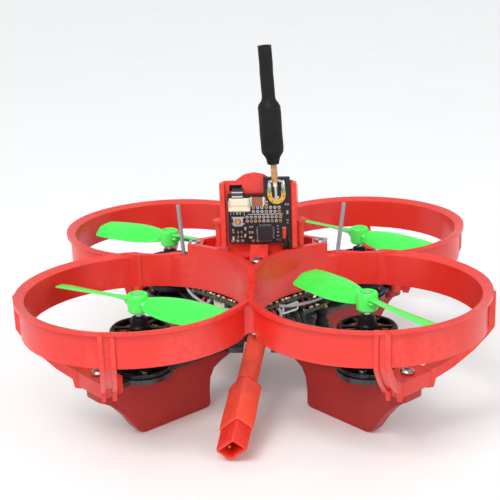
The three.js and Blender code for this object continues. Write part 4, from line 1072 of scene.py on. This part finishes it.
def aerial():
    place = moved(*AERIAL_FOOT, AERIAL_LEAN, "Y") @ moved(z=-AERIAL_FOOT.z)
    core = Piece("aerial_braid", place)
    core.turned([(0, 51.5), (0.3, 51.6), (0.3, 55.2), (0, 55.2)], SOLDER, None, 14)
    core.turned([(0, 54.9), (0.5, 54.9), (0.52, 56.4), (0, 56.4)], CREAM, None, 16)
    profile = [(0, 56), (0.72, 56.05)]
    for k in range(19):
        profile.append((0.8 if k % 2 else 0.74, 56.2 + 0.2 * k))
    core.turned([*profile, (0.75, 60.6), (0, 60.6)], COAX, None, 20)
    for k in range(6):
        line = [(*polar(0.74, TURN * (k / 6 + i / 25 * 1.6)), 56.2 + 3.5 * i / 24) for i in range(25)]
        core.tube(line, 0.06, COAX, 5)
    core.make("coax", "aerial_coax")
    sleeve = Piece("aerial_jacket", place)
    # (radius, height), up the outside and down into the open end
    stations = [(1.2, 60.5), (1.45, 60.55), (1.5, 60.9), (1.8, 62), (2.3, 62.8), (2.65, 63.4), (2.72, 64.2),
                (2.74, 65), (2.75, 73.4), (2.7, 74.2), (2.4, 75), (1.85, 75.8), (1.66, 76.6), (1.65, 78),
                (1.65, 88.3), (1.6, 88.55), (1.5, AERIAL_TOP), (1.2, AERIAL_TOP), (1.12, 88.45), (1.08, 84.2),
                (0.9, 83.7)]
    count = 40
    rings = []
    for r, z, _ in spline([(r, z, 0) for r, z in stations], 5):
        ring = []
        for i in range(count):
            a = TURN * i / count
            fold = 0.03 * sin(3 * a + z * 0.9) + 0.02 * sin(5 * a - z * 1.7)
            wide = max(0.5, r - 0.05 + fold * (r > 1.3))
            ring.append((*polar(wide, a), min(z, AERIAL_TOP)))
        rings.append(ring)
    sleeve.loft(rings, SHRINK)
    sleeve.turned([(0.8, 60.45), (1.3, 60.5), (1.3, 60.8), (0.8, 60.8)], SHRINK)
    sleeve.make("black_sleeve", "aerial_sleeve")


def receiver_tube(name, node, x, lean, wire):
    """A stiff tube with a cut top, and the thin aerial wire that comes up through it from below."""
    foot = 34.6
    place = moved(x, 0, foot, lean, "Y")
    piece = Piece(name, place)
    piece.turned([(0.28, 0), (0.46, 0), (0.5, 0.05), (0.5, 13.9), (0.46, 14.05), (0.3, 14.08), (0.28, 13.95)],
                 GREY, None, 18)
    piece.turned([(0, 0.2), (0.24, 0.2), (0.24, 12.6), (0.1, 12.9), (0, 12.9)], WIRE_GREY, None, 10)
    for h in (3.1, 7.4, 10.2):
        piece.turned([(0.48, h), (0.53, h + 0.05), (0.53, h + 0.2), (0.48, h + 0.25)], GREY, None, 18)
    back = place.inverted()
    line = spline([(x, 0, 34.9), (x, 0, 31), *wire], 8)
    piece.tube([back @ p for p in line], 0.36, WIRE_GREY, 10)
    piece.make("grey_tube", node)


aerial()
receiver_tube("aerial_guide_left", "receiver_tube_left", -18.9, -3.5,
              [(-18.8, -0.2, 28.2), (-17.6, -2, 26), (-14.6, -5.4, 24.9), (-11, -9, 24.6),
               (-7, -12, 24.9), (-3.6, -13.8, 25.9)])
receiver_tube("aerial_guide_right", "receiver_tube_right", 20, 7.5,
              [(19.8, -0.2, 28.2), (18.6, -2.2, 26.2), (15.6, -5.6, 25.3), (12, -8.6, 25.2),
               (8.6, -11, 25.4), (5.6, -12.6, 26)])


# ---- floor ----

def studio_floor():
    mesh = bpy.data.meshes.new("studio_floor")
    far = 6
    corners = ((-far, -far), (far, -far), (far, far), (-far, far))
    mesh.from_pydata(ring_at(corners, 0), [], [(0, 1, 2, 3)])
    mesh.materials.append(finish("pale_floor", (246, 246, 246), (0.6, 0.75), 2, 0.01, 60, 0.01))
    placed("studio_floor", mesh)


studio_floor()
